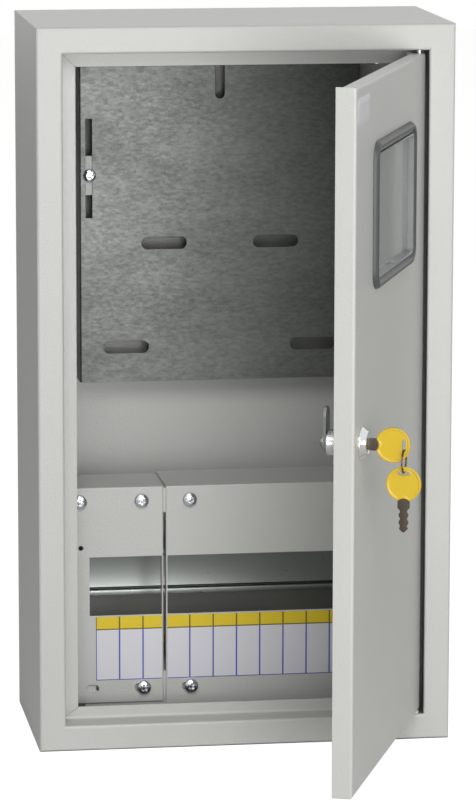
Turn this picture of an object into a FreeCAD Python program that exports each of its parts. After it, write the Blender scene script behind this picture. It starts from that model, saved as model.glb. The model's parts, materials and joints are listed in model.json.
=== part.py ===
"""A wall-mounted sheet-steel electric meter box with its door swung open.

Frame of the part: +Z up, the front faces -Y, millimetres. The origin is the
centre of the four wall holes, on the back face that lies against the wall.
Every driving size is a cell of the sheet "Sizes". A Size carries the number
and the expression together, so each sketch and solid is bound to the sheet.
"""
import FreeCAD
import Part
import math
import os

import Sketcher
from FreeCAD import Rotation, Vector

doc = FreeCAD.newDocument("meter_box")
sheet = doc.addObject("Spreadsheet::Sheet", "Sizes")
pieces = []


class Size:
    """A length with the text of the expression that gives it."""

    def __init__(self, value, text):
        self.value = value
        self.text = text

    def __add__(self, other):
        other = as_size(other)
        return Size(self.value + other.value, "(%s + %s)" % (self.text, other.text))

    def __sub__(self, other):
        other = as_size(other)
        return Size(self.value - other.value, "(%s - %s)" % (self.text, other.text))

    def __mul__(self, factor):
        factor = as_size(factor)
        return Size(self.value * factor.value, "(%s * %s)" % (self.text, factor.text))

    def __truediv__(self, factor):
        factor = as_size(factor)
        return Size(self.value / factor.value, "(%s / %s)" % (self.text, factor.text))

    def __neg__(self):
        return Size(-self.value, "(0 - %s)" % self.text)

    def __rsub__(self, other):
        return as_size(other) - self

    def __radd__(self, other):
        return as_size(other) + self


def as_size(number):
    if isinstance(number, Size):
        return number
    return Size(float(number), repr(float(number)))


def root_of(size):
    return Size(math.sqrt(size.value), "sqrt(%s)" % size.text)


row_count = 0


def size(alias, number, meaning):
    """Write one named value into the sheet and give it back as a Size."""
    global row_count
    row_count += 1
    sheet.set("A%d" % row_count, meaning)
    sheet.set("B%d" % row_count, str(number))
    sheet.setAlias("B%d" % row_count, alias)
    return Size(float(number), "Sizes.%s" % alias)


ZERO = Size(0.0, "0")

# Case
case_width = size("case_width", 310, "outside width")
case_height = size("case_height", 540, "outside height")
case_depth = size("case_depth", 160, "outside depth")
case_sheet = size("case_sheet", 1.2, "thickness of the case's sheet")
bend_radius = size("bend_radius", 2.0, "outer radius of the folds that show")
frame_width = size("frame_width", 19.5, "width of the flat frame round the door")
rebate_depth = size("rebate_depth", 21, "depth of the recess that the door closes into")
lip_side = size("lip_side", 11.5, "width of the lip at the left and right of the recess")
lip_top = size("lip_top", 11, "width of the lip at the top of the recess")
lip_bottom = size("lip_bottom", 9.2, "width of the lip at the bottom of the recess")
weld_gap = size("weld_gap", 0.2, "room round a sheet that is welded in")
seat_gap = size("seat_gap", 0.1, "room between two pieces that are fixed together")
wall_hole_radius = size("wall_hole_radius", 4, "radius of a wall hole")
wall_hole_inset = size("wall_hole_inset", 30, "wall holes from the case's sides")
wall_hole_end = size("wall_hole_end", 40, "wall holes from the case's top and bottom")
mitre_width = size("mitre_width", 0.3, "width of the mitre joints in the lip")
mitre_depth = size("mitre_depth", 0.4, "depth of the mitre joints in the lip")
mitre_stop = size("mitre_stop", 2.4, "mitre joint's end from the fold")
rear_flange = size("rear_flange", 12, "depth of the rear wall's welded edges")
entry_radius = size("entry_radius", 16, "radius of a cable entry in the floor")
entry_pitch = size("entry_pitch", 55, "cable entries from the centre line")
entry_depth = size("entry_depth", 55, "distance of the cable entries from the wall")

# Door and its hinge
door_angle = size("door_angle", 69, "how far the door stands open, in degrees")
door_side_gap = size("door_side_gap", 1.2, "gap beside the closed door")
door_end_gap = size("door_end_gap", 2.5, "gap above and below the closed door")
door_sheet = size("door_sheet", 1.2, "thickness of the door's sheet")
door_flange = size("door_flange", 14.5, "depth of the door's side flanges")
door_end_flange = size("door_end_flange", 9.7, "depth of the door's top and bottom flanges")
hinge_inset = size("hinge_inset", 5.8, "hinge axis from the door's edge")
hinge_setback = size("hinge_setback", 4.1, "hinge axis behind the door's face")
pin_radius = size("pin_radius", 1.8, "radius of a hinge pin")
pin_reach = size("pin_reach", 6.0, "length of a hinge pin inside the door")
pin_head_radius = size("pin_head_radius", 2.7, "radius of a hinge pin's head")
pin_head = size("pin_head", 1.6, "thickness of a hinge pin's head")
pin_clearance = size("pin_clearance", 0.06, "radial clearance round a hinge pin")
washer_radius = size("washer_radius", 3.9, "radius of the hinge washer")
washer_gap = size("washer_gap", 0.3, "room between the washer and the door")

# Window in the door
window_width = size("window_width", 152, "outside width of the window seal")
window_height = size("window_height", 104, "outside height of the window seal")
window_corner = size("window_corner", 13, "outside corner radius of the window seal")
window_from_hinge = size("window_from_hinge", 130, "window centre from the door's hinge edge")
window_drop = size("window_drop", 118, "window centre below the top of the case")
seal_band = size("seal_band", 8, "width of the window seal")
seal_front = size("seal_front", 4, "height of the window seal in front of the door")
seal_round = size("seal_round", 2.0, "bevel of the seal's outer front edge")
seal_back = size("seal_back", 3.4, "height of the window seal behind the pane's groove")
seal_grip = size("seal_grip", 4, "how far the seal reaches over the door's edge")
pane_sheet = size("pane_sheet", 2, "thickness of the clear pane")
groove_web = size("groove_web", 0.8, "rubber between the two grooves of the seal")
groove_reach = size("groove_reach", 1.0, "how far a groove's cutter passes the seal")
groove_gap = size("groove_gap", 0.1, "clearance of a sheet in the seal's groove")
pane_rim = size("pane_rim", 1.2, "thickness of the pane's standing rim")
pane_rim_height = size("pane_rim_height", 4, "height of the pane's standing rim")
pane_rim_gap = size("pane_rim_gap", 0.4, "gap between the pane's rim and the seal")
lug_rise = size("lug_rise", 31, "side lugs above and below the window's middle")
lug_length = size("lug_length", 4, "length of a lug on the pane's rim")
lug_reach = size("lug_reach", 1.6, "how far a lug stands inwards from the rim")

# Lock
lock_inset = size("lock_inset", 25.6, "lock axis from the door's free edge")
lock_rise = size("lock_rise", -1, "lock axis above the middle of the case")
bezel_radius = size("bezel_radius", 11.75, "radius of the lock's bezel on the door")
bezel_face_radius = size("bezel_face_radius", 8.75, "radius of the lock's front ring")
bezel_height = size("bezel_height", 5, "height of the lock's bezel")
bezel_rim = size("bezel_rim", 0.8, "thickness of the bezel's edge")
lock_thread_radius = size("lock_thread_radius", 9.5, "radius of the lock's threaded body")
housing_end_gap = size("housing_end_gap", 0.5, "room between the lock's body and its cam")
lock_hole_gap = size("lock_hole_gap", 0.2, "clearance of the lock body in the door")
barrel_radius = size("barrel_radius", 6.2, "radius of the lock's barrel")
barrel_clearance = size("barrel_clearance", 0.06, "radial clearance of the barrel")
barrel_sink = size("barrel_sink", 0.5, "how far the barrel lies below the bezel's front")
keyway_room = size("keyway_room", 1.0, "room past the tip of the key")
keyway_height = size("keyway_height", 7.6, "height of the keyway")
keyway_width = size("keyway_width", 2.6, "width of the keyway")
cam_lip_gap = size("cam_lip_gap", 1.5, "room between the cam and the back of the lip")
cam_sheet = size("cam_sheet", 2, "thickness of the cam")
cam_length = size("cam_length", 26, "reach of the cam from the lock's axis")
cam_half = size("cam_half", 7, "half the width of the cam")
cam_square = size("cam_square", 3.6, "half the side of the barrel's square end")
nut_half = size("nut_half", 12, "half the width across the lock nut's flats")
nut_height = size("nut_height", 4, "thickness of the lock nut")
nut_gap = size("nut_gap", 0.3, "room between the lock nut's bore and the thread")

# Keys and their ring
bow_radius = size("bow_radius", 12.3, "radius of a key's bow")
bow_thickness = size("bow_thickness", 3.2, "thickness of a key's bow")
bow_slot_length = size("bow_slot_length", 8.6, "length of the slot in a bow")
bow_slot_width = size("bow_slot_width", 2.6, "width of the slot in a bow")
bow_slot_inset = size("bow_slot_inset", 4.6, "slot centre from the edge of the bow")
key_out = size("key_out", 22.3, "bow centre of the inserted key in front of the door")
blade_thickness = size("blade_thickness", 2.0, "thickness of a key's blade")
blade_head = size("blade_head", 10.3, "start of the bare blade from the bow's centre")
blade_head_radius = size("blade_head_radius", 5.8, "radius of the blade's round head")
shoulder_end = size("shoulder_end", 16.8, "end of the shoulder from the bow's centre")
shoulder_half = size("shoulder_half", 4.25, "half the width of the shoulder")
neck_half = size("neck_half", 2.3, "half the width of the blade at its notches")
lobe_height = size("lobe_height", 1.1, "height of a lobe above the notches")
lobe_rise = size("lobe_rise", 1.8, "slope from a notch to the lobe beside it")
lobe_pitch = size("lobe_pitch", 5.1, "length of one lobe along the blade")
neck_start = size("neck_start", 19.3, "first notch from the bow's centre")
barb_half = size("barb_half", 3.05, "half the width of the arrow at the tip")
barb_run = size("barb_run", 1.8, "length from the last notch to the arrow")
tip_run = size("tip_run", 2.9, "length of the arrow")
tang_half = size("tang_half", 2.5, "half the width of the tang inside the bow")
tang_length = size("tang_length", 6, "length of the tang inside the bow")
tang_thickness = size("tang_thickness", 1.2, "thickness of the tang")
tang_gap = size("tang_gap", 0.1, "room round the tang")
ring_radius = size("ring_radius", 7.9, "mean radius of the key ring")
ring_wire = size("ring_wire", 1.0, "radial thickness of the ring's wire")
ring_stack = size("ring_stack", 1.5, "thickness of the ring's two coils together")
ring_play = size("ring_play", 0.5, "room between the ring and the end of a bow's slot")

# Meter panel
panel_inset = size("panel_inset", 46.7, "meter panel's edges from the case's sides")
panel_height = size("panel_height", 258, "height of the meter panel")
panel_drop = size("panel_drop", 26.6, "upper edge of the meter panel below the case's top")
panel_front = size("panel_front", 21, "front of the meter panel before the wall plane")
panel_rear_gap = size("panel_rear_gap", 0.8, "room between the panel's edges and the rear wall")
panel_sheet = size("panel_sheet", 1.0, "thickness of the meter panel")
panel_bend = size("panel_bend", 1.5, "outer fold radius of the meter panel")
meter_slot_length = size("meter_slot_length", 35, "length of a meter slot")
meter_slot_width = size("meter_slot_width", 9.6, "width of a meter slot")
upper_slot_width = size("upper_slot_width", 7.3, "width of the upright slot at the top")
upper_slot_drop = size("upper_slot_drop", 24.2, "middle of the upright slot below the panel's upper edge")
upper_slot_length = size("upper_slot_length", 33, "length of the upright slot")
middle_slot_out = size("middle_slot_out", 43.2, "middle slots from the centre line")
middle_slot_drop = size("middle_slot_drop", 151.1, "middle slots below the panel's upper edge")
lower_slot_inset = size("lower_slot_inset", 35.7, "middle of the lower slots from the panel's edges")
lower_slot_drop = size("lower_slot_drop", 231.4, "lower slots below the panel's upper edge")
guide_slot_inset = size("guide_slot_inset", 7.3, "guide slots from the panel's edges")
guide_slot_width = size("guide_slot_width", 5.1, "width of a guide slot")
guide_slot_drop = size("guide_slot_drop", 54.9, "upper end of a guide slot below the panel's upper edge")
guide_slot_length = size("guide_slot_length", 76.1, "length of a guide slot")
panel_screw_inset = size("panel_screw_inset", 7.8, "panel screws from the panel's edges")
bracket_drop = size("bracket_drop", 98.4, "middle of the panel brackets below the panel's upper edge")
bracket_height = size("bracket_height", 30, "height of a panel bracket")
bracket_sheet = size("bracket_sheet", 1.5, "thickness of the brackets and cover rails")
bracket_flange = size("bracket_flange", 16, "width of a bracket's flanges")

# Screws
screw_radius = size("screw_radius", 2.0, "radius of a screw's shank")
rail_hole_gap = size("rail_hole_gap", 0.3, "radial room of a screw in the module rail")
tapped_gap = size("tapped_gap", 0.05, "radial room of a screw in its tapped hole")
cover_head_radius = size("cover_head_radius", 5.4, "radius of a cover screw's head")
head_crown = size("head_crown", 1.4, "height of the taper of a screw's head")
cover_head_height = size("cover_head_height", 3.4, "height of a cover screw's head")
panel_head_radius = size("panel_head_radius", 4.8, "radius of a panel screw's head")
panel_head_height = size("panel_head_height", 3.0, "height of a panel screw's head")
screw_length = size("screw_length", 9, "length of a screw below its head")

# Covers over the modules
cover_front = size("cover_front", 105, "front of the covers before the wall plane")
cover_bend = size("cover_bend", 1.0, "outer fold radius of the covers")
cover_sheet = size("cover_sheet", 1.2, "thickness of the covers")
cover_rise = size("cover_rise", 189, "upper edge of the covers above the case's bottom")
cover_foot_left = size("cover_foot_left", 22.9, "lower edge of the left cover above the case's bottom")
cover_foot_right = size("cover_foot_right", 20, "lower edge of the right cover above the case's bottom")
cover_inset = size("cover_inset", 20, "outer edges of the covers from the case's sides")
cover_joint = size("cover_joint", -54.05, "middle of the joint between the covers")
cover_joint_gap = size("cover_joint_gap", 1.9, "width of the joint between the covers")
left_top_flange = size("left_top_flange", 53, "depth of the left cover's top flange")
right_top_flange = size("right_top_flange", 62, "depth of the right cover's top flange")
flange_bevel = size("flange_bevel", 3, "bevel at the end of a top flange")
joint_flange = size("joint_flange", 8, "depth of the flanges along the joint")
joint_flange_drop = size("joint_flange_drop", 24, "upper end of the joint's flanges below the covers' upper edge")
joint_flange_length = size("joint_flange_length", 117, "length of the flanges along the joint")
joint_flange_slope = size("joint_flange_slope", 6, "slope at the ends of those flanges")
module_height = size("module_height", 45.2, "height of the module windows")
module_drop = size("module_drop", 76.1, "middle of the module windows below the covers' upper edge")
module_inset = size("module_inset", 23.8, "outer edges of the module windows from the covers' edges")
upper_screw_drop = size("upper_screw_drop", 10.7, "upper cover screws below the covers' upper edge")
lower_screw_drop = size("lower_screw_drop", 155.1, "lower cover screws below the covers' upper edge")
upper_screw_inset = size("upper_screw_inset", 16.6, "outer upper screws from the covers' edges")
upper_screw_left = size("upper_screw_left", 17.55, "second upper screw left of the joint")
upper_screw_right = size("upper_screw_right", 19.15, "third upper screw right of the joint")
lower_screw_before = size("lower_screw_before", 15.95, "lower screw of the left cover left of the joint")
lower_screw_after = size("lower_screw_after", 20.15, "first lower screw of the right cover right of the joint")
lower_screw_inset = size("lower_screw_inset", 27, "last lower screw from the right cover's edge")
slot_length = size("slot_length", 9.7, "length of a lower screw slot")
slot_width = size("slot_width", 6, "width of a lower screw slot")
slot_shift = size("slot_shift", 2.4, "slot centre from its screw")
empty_slot_inset = size("empty_slot_inset", 25.9, "middle of the slot that has no screw from the left cover's edge")
empty_hole_shift = size("empty_hole_shift", 4.5, "rail hole behind the empty slot from the slot's middle")
cover_hole_gap = size("cover_hole_gap", 0.4, "radial room of an upper screw in a cover")
seal_hole_radius = size("seal_hole_radius", 1.75, "radius of the sealing wire's hole")
seal_hole_inset = size("seal_hole_inset", 17.3, "sealing wire's hole from the left cover's edge")
seal_hole_drop = size("seal_hole_drop", 46.2, "sealing wire's hole below the covers' upper edge")

# Rails that carry the covers
upper_rail_height = size("upper_rail_height", 19, "height of the upper cover rail")
upper_rail_depth = size("upper_rail_depth", 28, "depth of the upper cover rail")
rail_top_gap = size("rail_top_gap", 0.2, "room under the covers' top flanges")
lower_rail_drop = size("lower_rail_drop", 143, "upper edge of the lower cover rail below the covers' upper edge")
lower_rail_depth = size("lower_rail_depth", 25, "depth of the lower cover rail's foot")
lower_rail_inset = size("lower_rail_inset", 20.4, "ends of the lower cover rail from the covers' edges")

# Module rail
din_height = size("din_height", 35, "height of the module rail")
din_depth = size("din_depth", 7.5, "depth of the module rail")
din_channel = size("din_channel", 27, "outside height of the rail's channel")
din_sheet = size("din_sheet", 1.0, "thickness of the module rail")
din_inset = size("din_inset", 36, "ends of the module rail from the case's sides")
din_behind = size("din_behind", 47, "rail front behind the covers' front")
stand_inset = size("stand_inset", 42, "rail stands from the case's sides")
stand_height = size("stand_height", 24, "height of a rail stand")
stand_width = size("stand_width", 10, "width of a rail stand's front")

# Terminal bars
bar_length = size("bar_length", 66, "length of a terminal bar")
bar_height = size("bar_height", 9, "height of a terminal bar")
bar_depth = size("bar_depth", 6.5, "depth of a terminal bar")
bar_lift = size("bar_lift", 48, "middle of the terminal bars above the case's bottom")
bar_out = size("bar_out", 55, "middle of a terminal bar from the centre line")
bar_terminals = size("bar_terminals", 8, "number of terminals on a bar")
bar_pitch = size("bar_pitch", 8, "distance between a bar's terminals")
cage_half = size("cage_half", 2.4, "half the width of a wire cage")
bar_screw_radius = size("bar_screw_radius", 2.2, "radius of a terminal screw")
bar_screw_height = size("bar_screw_height", 2.4, "height of a terminal screw above its bar")
foot_height = size("foot_height", 12, "height of a bar's feet above the rear wall")
foot_plate_height = size("foot_plate_height", 3, "height of the spread end of a foot")
foot_width = size("foot_width", 9, "width of a bar's foot")

# Labels and entry plugs
label_left_inset = size("label_left_inset", 28.5, "left edge of the label strip from the left cover's edge")
label_right_inset = size("label_right_inset", 26.7, "right edge of the label strip from the right cover's edge")
label_drop = size("label_drop", 99.7, "upper edge of the label strip below the covers' upper edge")
label_height = size("label_height", 49, "height of the label strip")
label_sheet = size("label_sheet", 0.25, "thickness of the label strip")
label_gap = size("label_gap", 0.03, "glue under the label strip")
label_margin = size("label_margin", 0.15, "label edge from the covers' joint")
plug_flange = size("plug_flange", 3.5, "reach of an entry plug's flange past its hole")
plug_plate = size("plug_plate", 2, "thickness of an entry plug's flange")

doc.recompute()


# Ways of drawing. Each sketch lies on one of its body's own planes.
def bind(thing, path, amount):
    thing.setExpression(path, amount.text)


def new_body(name):
    body = doc.addObject("PartDesign::Body", name)
    if hasattr(body, "AllowCompound"):
        body.AllowCompound = True
    return body


def origin_plane(body, role):
    for feature in body.Origin.OriginFeatures:
        if feature.Role == role:
            return feature
    return None


class Drawing:
    """A sketch whose loops are bound to the sheet, point by point."""

    def __init__(self, body, name, plane, offset=ZERO):
        self.sketch = body.newObject("Sketcher::SketchObject", name)
        self.sketch.AttachmentSupport = [(origin_plane(body, plane), "")]
        self.sketch.MapMode = "FlatFace"
        self.sketch.AttachmentOffset = FreeCAD.Placement(Vector(0, 0, offset.value), Rotation())
        bind(self.sketch, "AttachmentOffset.Base.z", offset)
        self.bound = []
        self.plain = []

    def fix(self, kind, geometry, point, amount):
        if abs(amount.value) < 1e-9 and kind != "Radius":
            self.plain.append(Sketcher.Constraint(kind, -1, 1, geometry, point, 0.0))
            return
        if kind == "Radius":
            rule = Sketcher.Constraint(kind, geometry, amount.value)
        else:
            rule = Sketcher.Constraint(kind, -1, 1, geometry, point, amount.value)
        self.bound.append((rule, amount))

    def place(self, geometry, point, across, up):
        self.fix("DistanceX", geometry, point, across)
        self.fix("DistanceY", geometry, point, up)

    def polygon(self, corners):
        """A closed loop of straight lines through the corners."""
        spots = [Vector(across.value, up.value, 0) for across, up in corners]
        lines = []
        for index, spot in enumerate(spots):
            line = Part.LineSegment(spot, spots[(index + 1) % len(spots)])
            lines.append(self.sketch.addGeometry(line, False))
        for index, line in enumerate(lines):
            following = lines[(index + 1) % len(lines)]
            self.plain.append(Sketcher.Constraint("Coincident", line, 2, following, 1))
            self.place(line, 1, corners[index][0], corners[index][1])

    def rectangle(self, left, right, low, high):
        self.polygon([(left, low), (right, low), (right, high), (left, high)])

    def circle(self, across, up, radius):
        centre = Vector(across.value, up.value, 0)
        ring = Part.Circle(centre, Vector(0, 0, 1), radius.value)
        index = self.sketch.addGeometry(ring, False)
        self.place(index, 3, across, up)
        self.fix("Radius", index, 0, radius)

    def hole(self, across, up, radius, sides):
        """A many-sided loop whose flats touch the circle, for a small hole."""
        self.rod(across, up, radius / math.cos(math.pi / sides), sides)

    def rod(self, across, up, radius, sides):
        """A many-sided loop whose corners lie on the circle, for a small round piece."""
        corners = []
        for index in range(sides):
            angle = 2 * math.pi * (index + 0.5) / sides
            corners.append((across + radius * math.cos(angle), up + radius * math.sin(angle)))
        self.polygon(corners)

    def long_hole(self, across, up, length, width, sides, upright=False):
        """A slot with many-sided ends, lying or upright, about its middle."""
        radius = width / 2
        reach = length / 2 - radius
        corners = []
        for index in range(sides + 2):
            turn = index
            middle = reach
            if index > sides // 2:
                turn = index - 1
                middle = -reach
            angle = 2 * math.pi * turn / sides - math.pi / 2
            along = middle + radius * math.cos(angle)
            beside = radius * math.sin(angle)
            if upright:
                corners.append((across - beside, up + along))
            else:
                corners.append((across + along, up + beside))
        self.polygon(corners)

    def corner_arc(self, across, up, radius, first, last):
        circle = Part.Circle(Vector(across.value, up.value, 0), Vector(0, 0, 1), radius.value)
        arc = Part.ArcOfCircle(circle, math.radians(first), math.radians(last))
        return self.sketch.addGeometry(arc, False)

    def straight(self, start, stop):
        return self.sketch.addGeometry(Part.LineSegment(Vector(*start), Vector(*stop)), False)

    def smooth(self, one, one_end, other, other_end):
        self.plain.append(Sketcher.Constraint("Tangent", one, one_end, other, other_end))

    def rounded(self, left, right, low, high, radius):
        """A rectangle with four equal round corners."""
        near = left + radius
        far = right - radius
        under = low + radius
        over = high - radius
        arcs = []
        centres = [(far, over, 0), (near, over, 90), (near, under, 180), (far, under, 270)]
        for across, up, first in centres:
            arc = self.corner_arc(across, up, radius, first, first + 90)
            self.place(arc, 3, across, up)
            self.fix("Radius", arc, 0, radius)
            arcs.append(arc)
        top = self.straight((far.value, high.value, 0), (near.value, high.value, 0))
        side = self.straight((left.value, over.value, 0), (left.value, under.value, 0))
        base = self.straight((near.value, low.value, 0), (far.value, low.value, 0))
        edge = self.straight((right.value, under.value, 0), (right.value, over.value, 0))
        lines = [top, side, base, edge]
        for index, line in enumerate(lines):
            self.smooth(arcs[index], 2, line, 1)
            self.smooth(line, 2, arcs[(index + 1) % 4], 1)

    def slot(self, across, up, length, width, upright=False):
        """A slot with round ends, lying or upright, about its middle."""
        radius = width / 2
        reach = length / 2 - radius
        if upright:
            first = (across, up - reach, 180)
            second = (across, up + reach, 0)
            corner = (radius.value, 0)
        else:
            first = (across - reach, up, 90)
            second = (across + reach, up, 270)
            corner = (0, radius.value)
        ends = []
        for spot in (first, second):
            arc = self.corner_arc(spot[0], spot[1], radius, spot[2], spot[2] + 180)
            self.place(arc, 3, spot[0], spot[1])
            self.fix("Radius", arc, 0, radius)
            ends.append(arc)
        one = (first[0].value, first[1].value)
        two = (second[0].value, second[1].value)
        sign = 1
        if not upright:
            sign = -1
        far = self.straight(
            (one[0] + sign * corner[0], one[1] + sign * corner[1], 0),
            (two[0] + sign * corner[0], two[1] + sign * corner[1], 0),
        )
        near = self.straight(
            (two[0] - sign * corner[0], two[1] - sign * corner[1], 0),
            (one[0] - sign * corner[0], one[1] - sign * corner[1], 0),
        )
        self.smooth(ends[0], 2, far, 1)
        self.smooth(far, 2, ends[1], 1)
        self.smooth(ends[1], 2, near, 1)
        self.smooth(near, 2, ends[0], 1)

    def done(self):
        first = len(self.plain)
        rules = self.plain + [rule for rule, amount in self.bound]
        self.sketch.addConstraint(rules)
        for index, (rule, amount) in enumerate(self.bound):
            name = "c%d" % index
            self.sketch.renameConstraint(first + index, name)
            bind(self.sketch, "Constraints." + name, amount)
        doc.recompute()
        return self.sketch


def pad(body, drawing, length, name):
    feature = body.newObject("PartDesign::Pad", name)
    feature.Profile = drawing.done()
    bind(feature, "Length", length)
    doc.recompute()
    return feature


def pocket(body, drawing, length, name, forward=False):
    """Cut against the sketch's normal, or along it when forward is set."""
    feature = body.newObject("PartDesign::Pocket", name)
    feature.Profile = drawing.done()
    bind(feature, "Length", length)
    feature.Reversed = forward
    doc.recompute()
    return feature


def round_edges(body, radius, name, test):
    """Fillet the edges of the body's last feature that pass the test."""
    last = body.Tip
    names = []
    for index, edge in enumerate(last.Shape.Edges):
        if test(edge):
            names.append("Edge%d" % (index + 1))
    if not names:
        raise RuntimeError("no edge found for %s" % name)
    feature = body.newObject("PartDesign::Fillet", name)
    feature.Base = (last, names)
    bind(feature, "Radius", radius)
    doc.recompute()
    return feature


def chamfer_edges(body, width, name, test):
    """Bevel the edges of the body's last feature that pass the test."""
    last = body.Tip
    names = []
    for index, edge in enumerate(last.Shape.Edges):
        if test(edge):
            names.append("Edge%d" % (index + 1))
    if not names:
        raise RuntimeError("no edge found for %s" % name)
    feature = body.newObject("PartDesign::Chamfer", name)
    feature.Base = (last, names)
    bind(feature, "Size", width)
    doc.recompute()
    return feature


# Sides of the small round pieces: screws and pins, their heads, and larger bores
few_sides = 6
more_sides = 12
many_sides = 24


def drill(body, name, spots, radius, offset, depth):
    """Many-sided holes for screws, each from a sketch of its own."""
    for index, (across, up) in enumerate(spots):
        hole = Drawing(body, "%s%d" % (name, index + 1), "XZ_Plane", offset)
        hole.hole(across, up, radius, few_sides)
        pocket(body, hole, depth, "%sCut%d" % (name, index + 1))


def in_row(body, feature, pitch, count, name):
    """Repeat a feature along the across direction of its sketch."""
    row = body.newObject("PartDesign::LinearPattern", name)
    row.Originals = [feature]
    row.Direction = (feature.Profile[0], ["H_Axis"])
    bind(row, "Length", pitch * (count - 1))
    bind(row, "Occurrences", count)
    body.Tip = row
    doc.recompute()
    return row


def near(value, amount):
    return abs(value - amount.value) < 0.01


def runs_along(edge, axis):
    box = edge.BoundBox
    spans = {"X": box.XLength, "Y": box.YLength, "Z": box.ZLength}
    length = spans.pop(axis)
    return length > 0.5 and max(spans.values()) < 0.01


def keep(thing, node):
    thing.Label = node
    pieces.append((node, thing))
    return thing


def put(thing, across, out, up):
    """Place a thing in the case's frame."""
    bind(thing, "Placement.Base.x", across)
    bind(thing, "Placement.Base.y", out)
    bind(thing, "Placement.Base.z", up)


# Lines of the case that other pieces are set out from
half_width = case_width / 2
half_height = case_height / 2
inside_half_width = half_width - case_sheet
inside_half_height = half_height - case_sheet
opening_half_width = half_width - frame_width
opening_half_height = half_height - frame_width
lip_front = case_depth - rebate_depth
lip_back = lip_front - case_sheet
lip_half_width = opening_half_width - lip_side
lip_low = lip_bottom - opening_half_height
lip_high = opening_half_height - lip_top

# Lines of the door, in its own frame: the hinge axis is the origin, the
# closed door lies along -X and its face looks along -Y
door_width = opening_half_width * 2 - door_side_gap * 2
door_half = opening_half_height - door_end_gap
door_right = hinge_inset
door_left = hinge_inset - door_width
door_face = -hinge_setback
door_back = door_face + door_sheet
hinge_out = opening_half_width - door_side_gap - hinge_inset
hinge_front = hinge_setback - case_depth
door_cos = Size(math.cos(math.radians(door_angle.value)), "cos(%s)" % door_angle.text)
door_sin = Size(math.sin(math.radians(door_angle.value)), "sin(%s)" % door_angle.text)


def on_door(thing, across, out, up):
    """Place a thing at a point of the door's own frame, turned with the door."""
    x = hinge_out + across * door_cos - out * door_sin
    y = hinge_front + across * door_sin + out * door_cos
    thing.Placement = FreeCAD.Placement(
        Vector(x.value, y.value, up.value), Rotation(Vector(0, 0, 1), door_angle.value)
    )
    put(thing, x, y, up)
    bind(thing, "Placement.Rotation.Angle", door_angle)


# Case: one folded shell with the frame, the recess and the lip
case = new_body("Case")
outer = Drawing(case, "CaseOutline", "XZ_Plane")
outer.rectangle(-half_width, half_width, -half_height, half_height)
pad(case, outer, case_depth, "CaseBlock")


def is_outer_fold(edge):
    centre = edge.CenterOfMass
    at_side = near(abs(centre.x), half_width)
    at_end = near(abs(centre.z), half_height)
    in_front = near(-centre.y, case_depth)
    return in_front and (at_side or at_end)


round_edges(case, bend_radius, "CaseFolds", is_outer_fold)
cavity = Drawing(case, "CavityOutline", "XZ_Plane", lip_back)
cavity.rectangle(-inside_half_width, inside_half_width, -inside_half_height, inside_half_height)
pocket(case, cavity, lip_back, "Cavity")
hollow = Drawing(case, "HollowOutline", "XZ_Plane", case_depth - case_sheet)
hollow.rectangle(-inside_half_width, inside_half_width, -inside_half_height, inside_half_height)
recess_out = opening_half_width + case_sheet
recess_up = opening_half_height + case_sheet
hollow.rectangle(-recess_out, recess_out, -recess_up, recess_up)
pocket(case, hollow, rebate_depth, "FrameHollow")
rebate = Drawing(case, "RecessOutline", "XZ_Plane", case_depth)
rebate.rectangle(-opening_half_width, opening_half_width, -opening_half_height, opening_half_height)
pocket(case, rebate, rebate_depth, "Recess")
mouth = Drawing(case, "MouthOutline", "XZ_Plane", lip_front)
mouth.rectangle(-lip_half_width, lip_half_width, lip_low, lip_high)
pocket(case, mouth, case_sheet, "Mouth")


def is_recess_fold(edge):
    centre = edge.CenterOfMass
    at_side = near(abs(centre.x), opening_half_width) and runs_along(edge, "Z")
    at_end = near(abs(centre.z), opening_half_height) and runs_along(edge, "X")
    in_front = near(-centre.y, case_depth)
    on_lip = near(-centre.y, lip_front)
    return (at_side or at_end) and (in_front or on_lip)


round_edges(case, bend_radius, "RecessFolds", is_recess_fold)
mitres = Drawing(case, "MitreLines", "XZ_Plane", lip_front)
for side in (-1, 1):
    for low_edge, high_edge in (
        (lip_high, opening_half_height - mitre_stop),
        (lip_low, mitre_stop - opening_half_height),
    ):
        inner = lip_half_width * side
        outside = (opening_half_width - mitre_stop) * side
        across = mitre_width / 2
        mitres.polygon([
            (inner - across, low_edge),
            (inner + across, low_edge),
            (outside + across, high_edge),
            (outside - across, high_edge),
        ])
pocket(case, mitres, mitre_depth, "Mitres")
entries = Drawing(case, "EntryOutline", "XY_Plane", -half_height)
for side in (-1, 1):
    entries.hole(entry_pitch * side, -entry_depth, entry_radius, many_sides)
pocket(case, entries, case_sheet, "Entries", forward=True)
pin_seats = Drawing(case, "PinSeat", "XY_Plane", opening_half_height)
pin_seats.circle(hinge_out, hinge_front, pin_radius + pin_clearance)
pocket(case, pin_seats, case_sheet, "UpperPinSeat", forward=True)
lower_seats = Drawing(case, "LowerPinSeat", "XY_Plane", -opening_half_height)
lower_seats.circle(hinge_out, hinge_front, pin_radius + pin_clearance)
pocket(case, lower_seats, case_sheet, "LowerPinHole")
keep(case, "case_shell")

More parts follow.
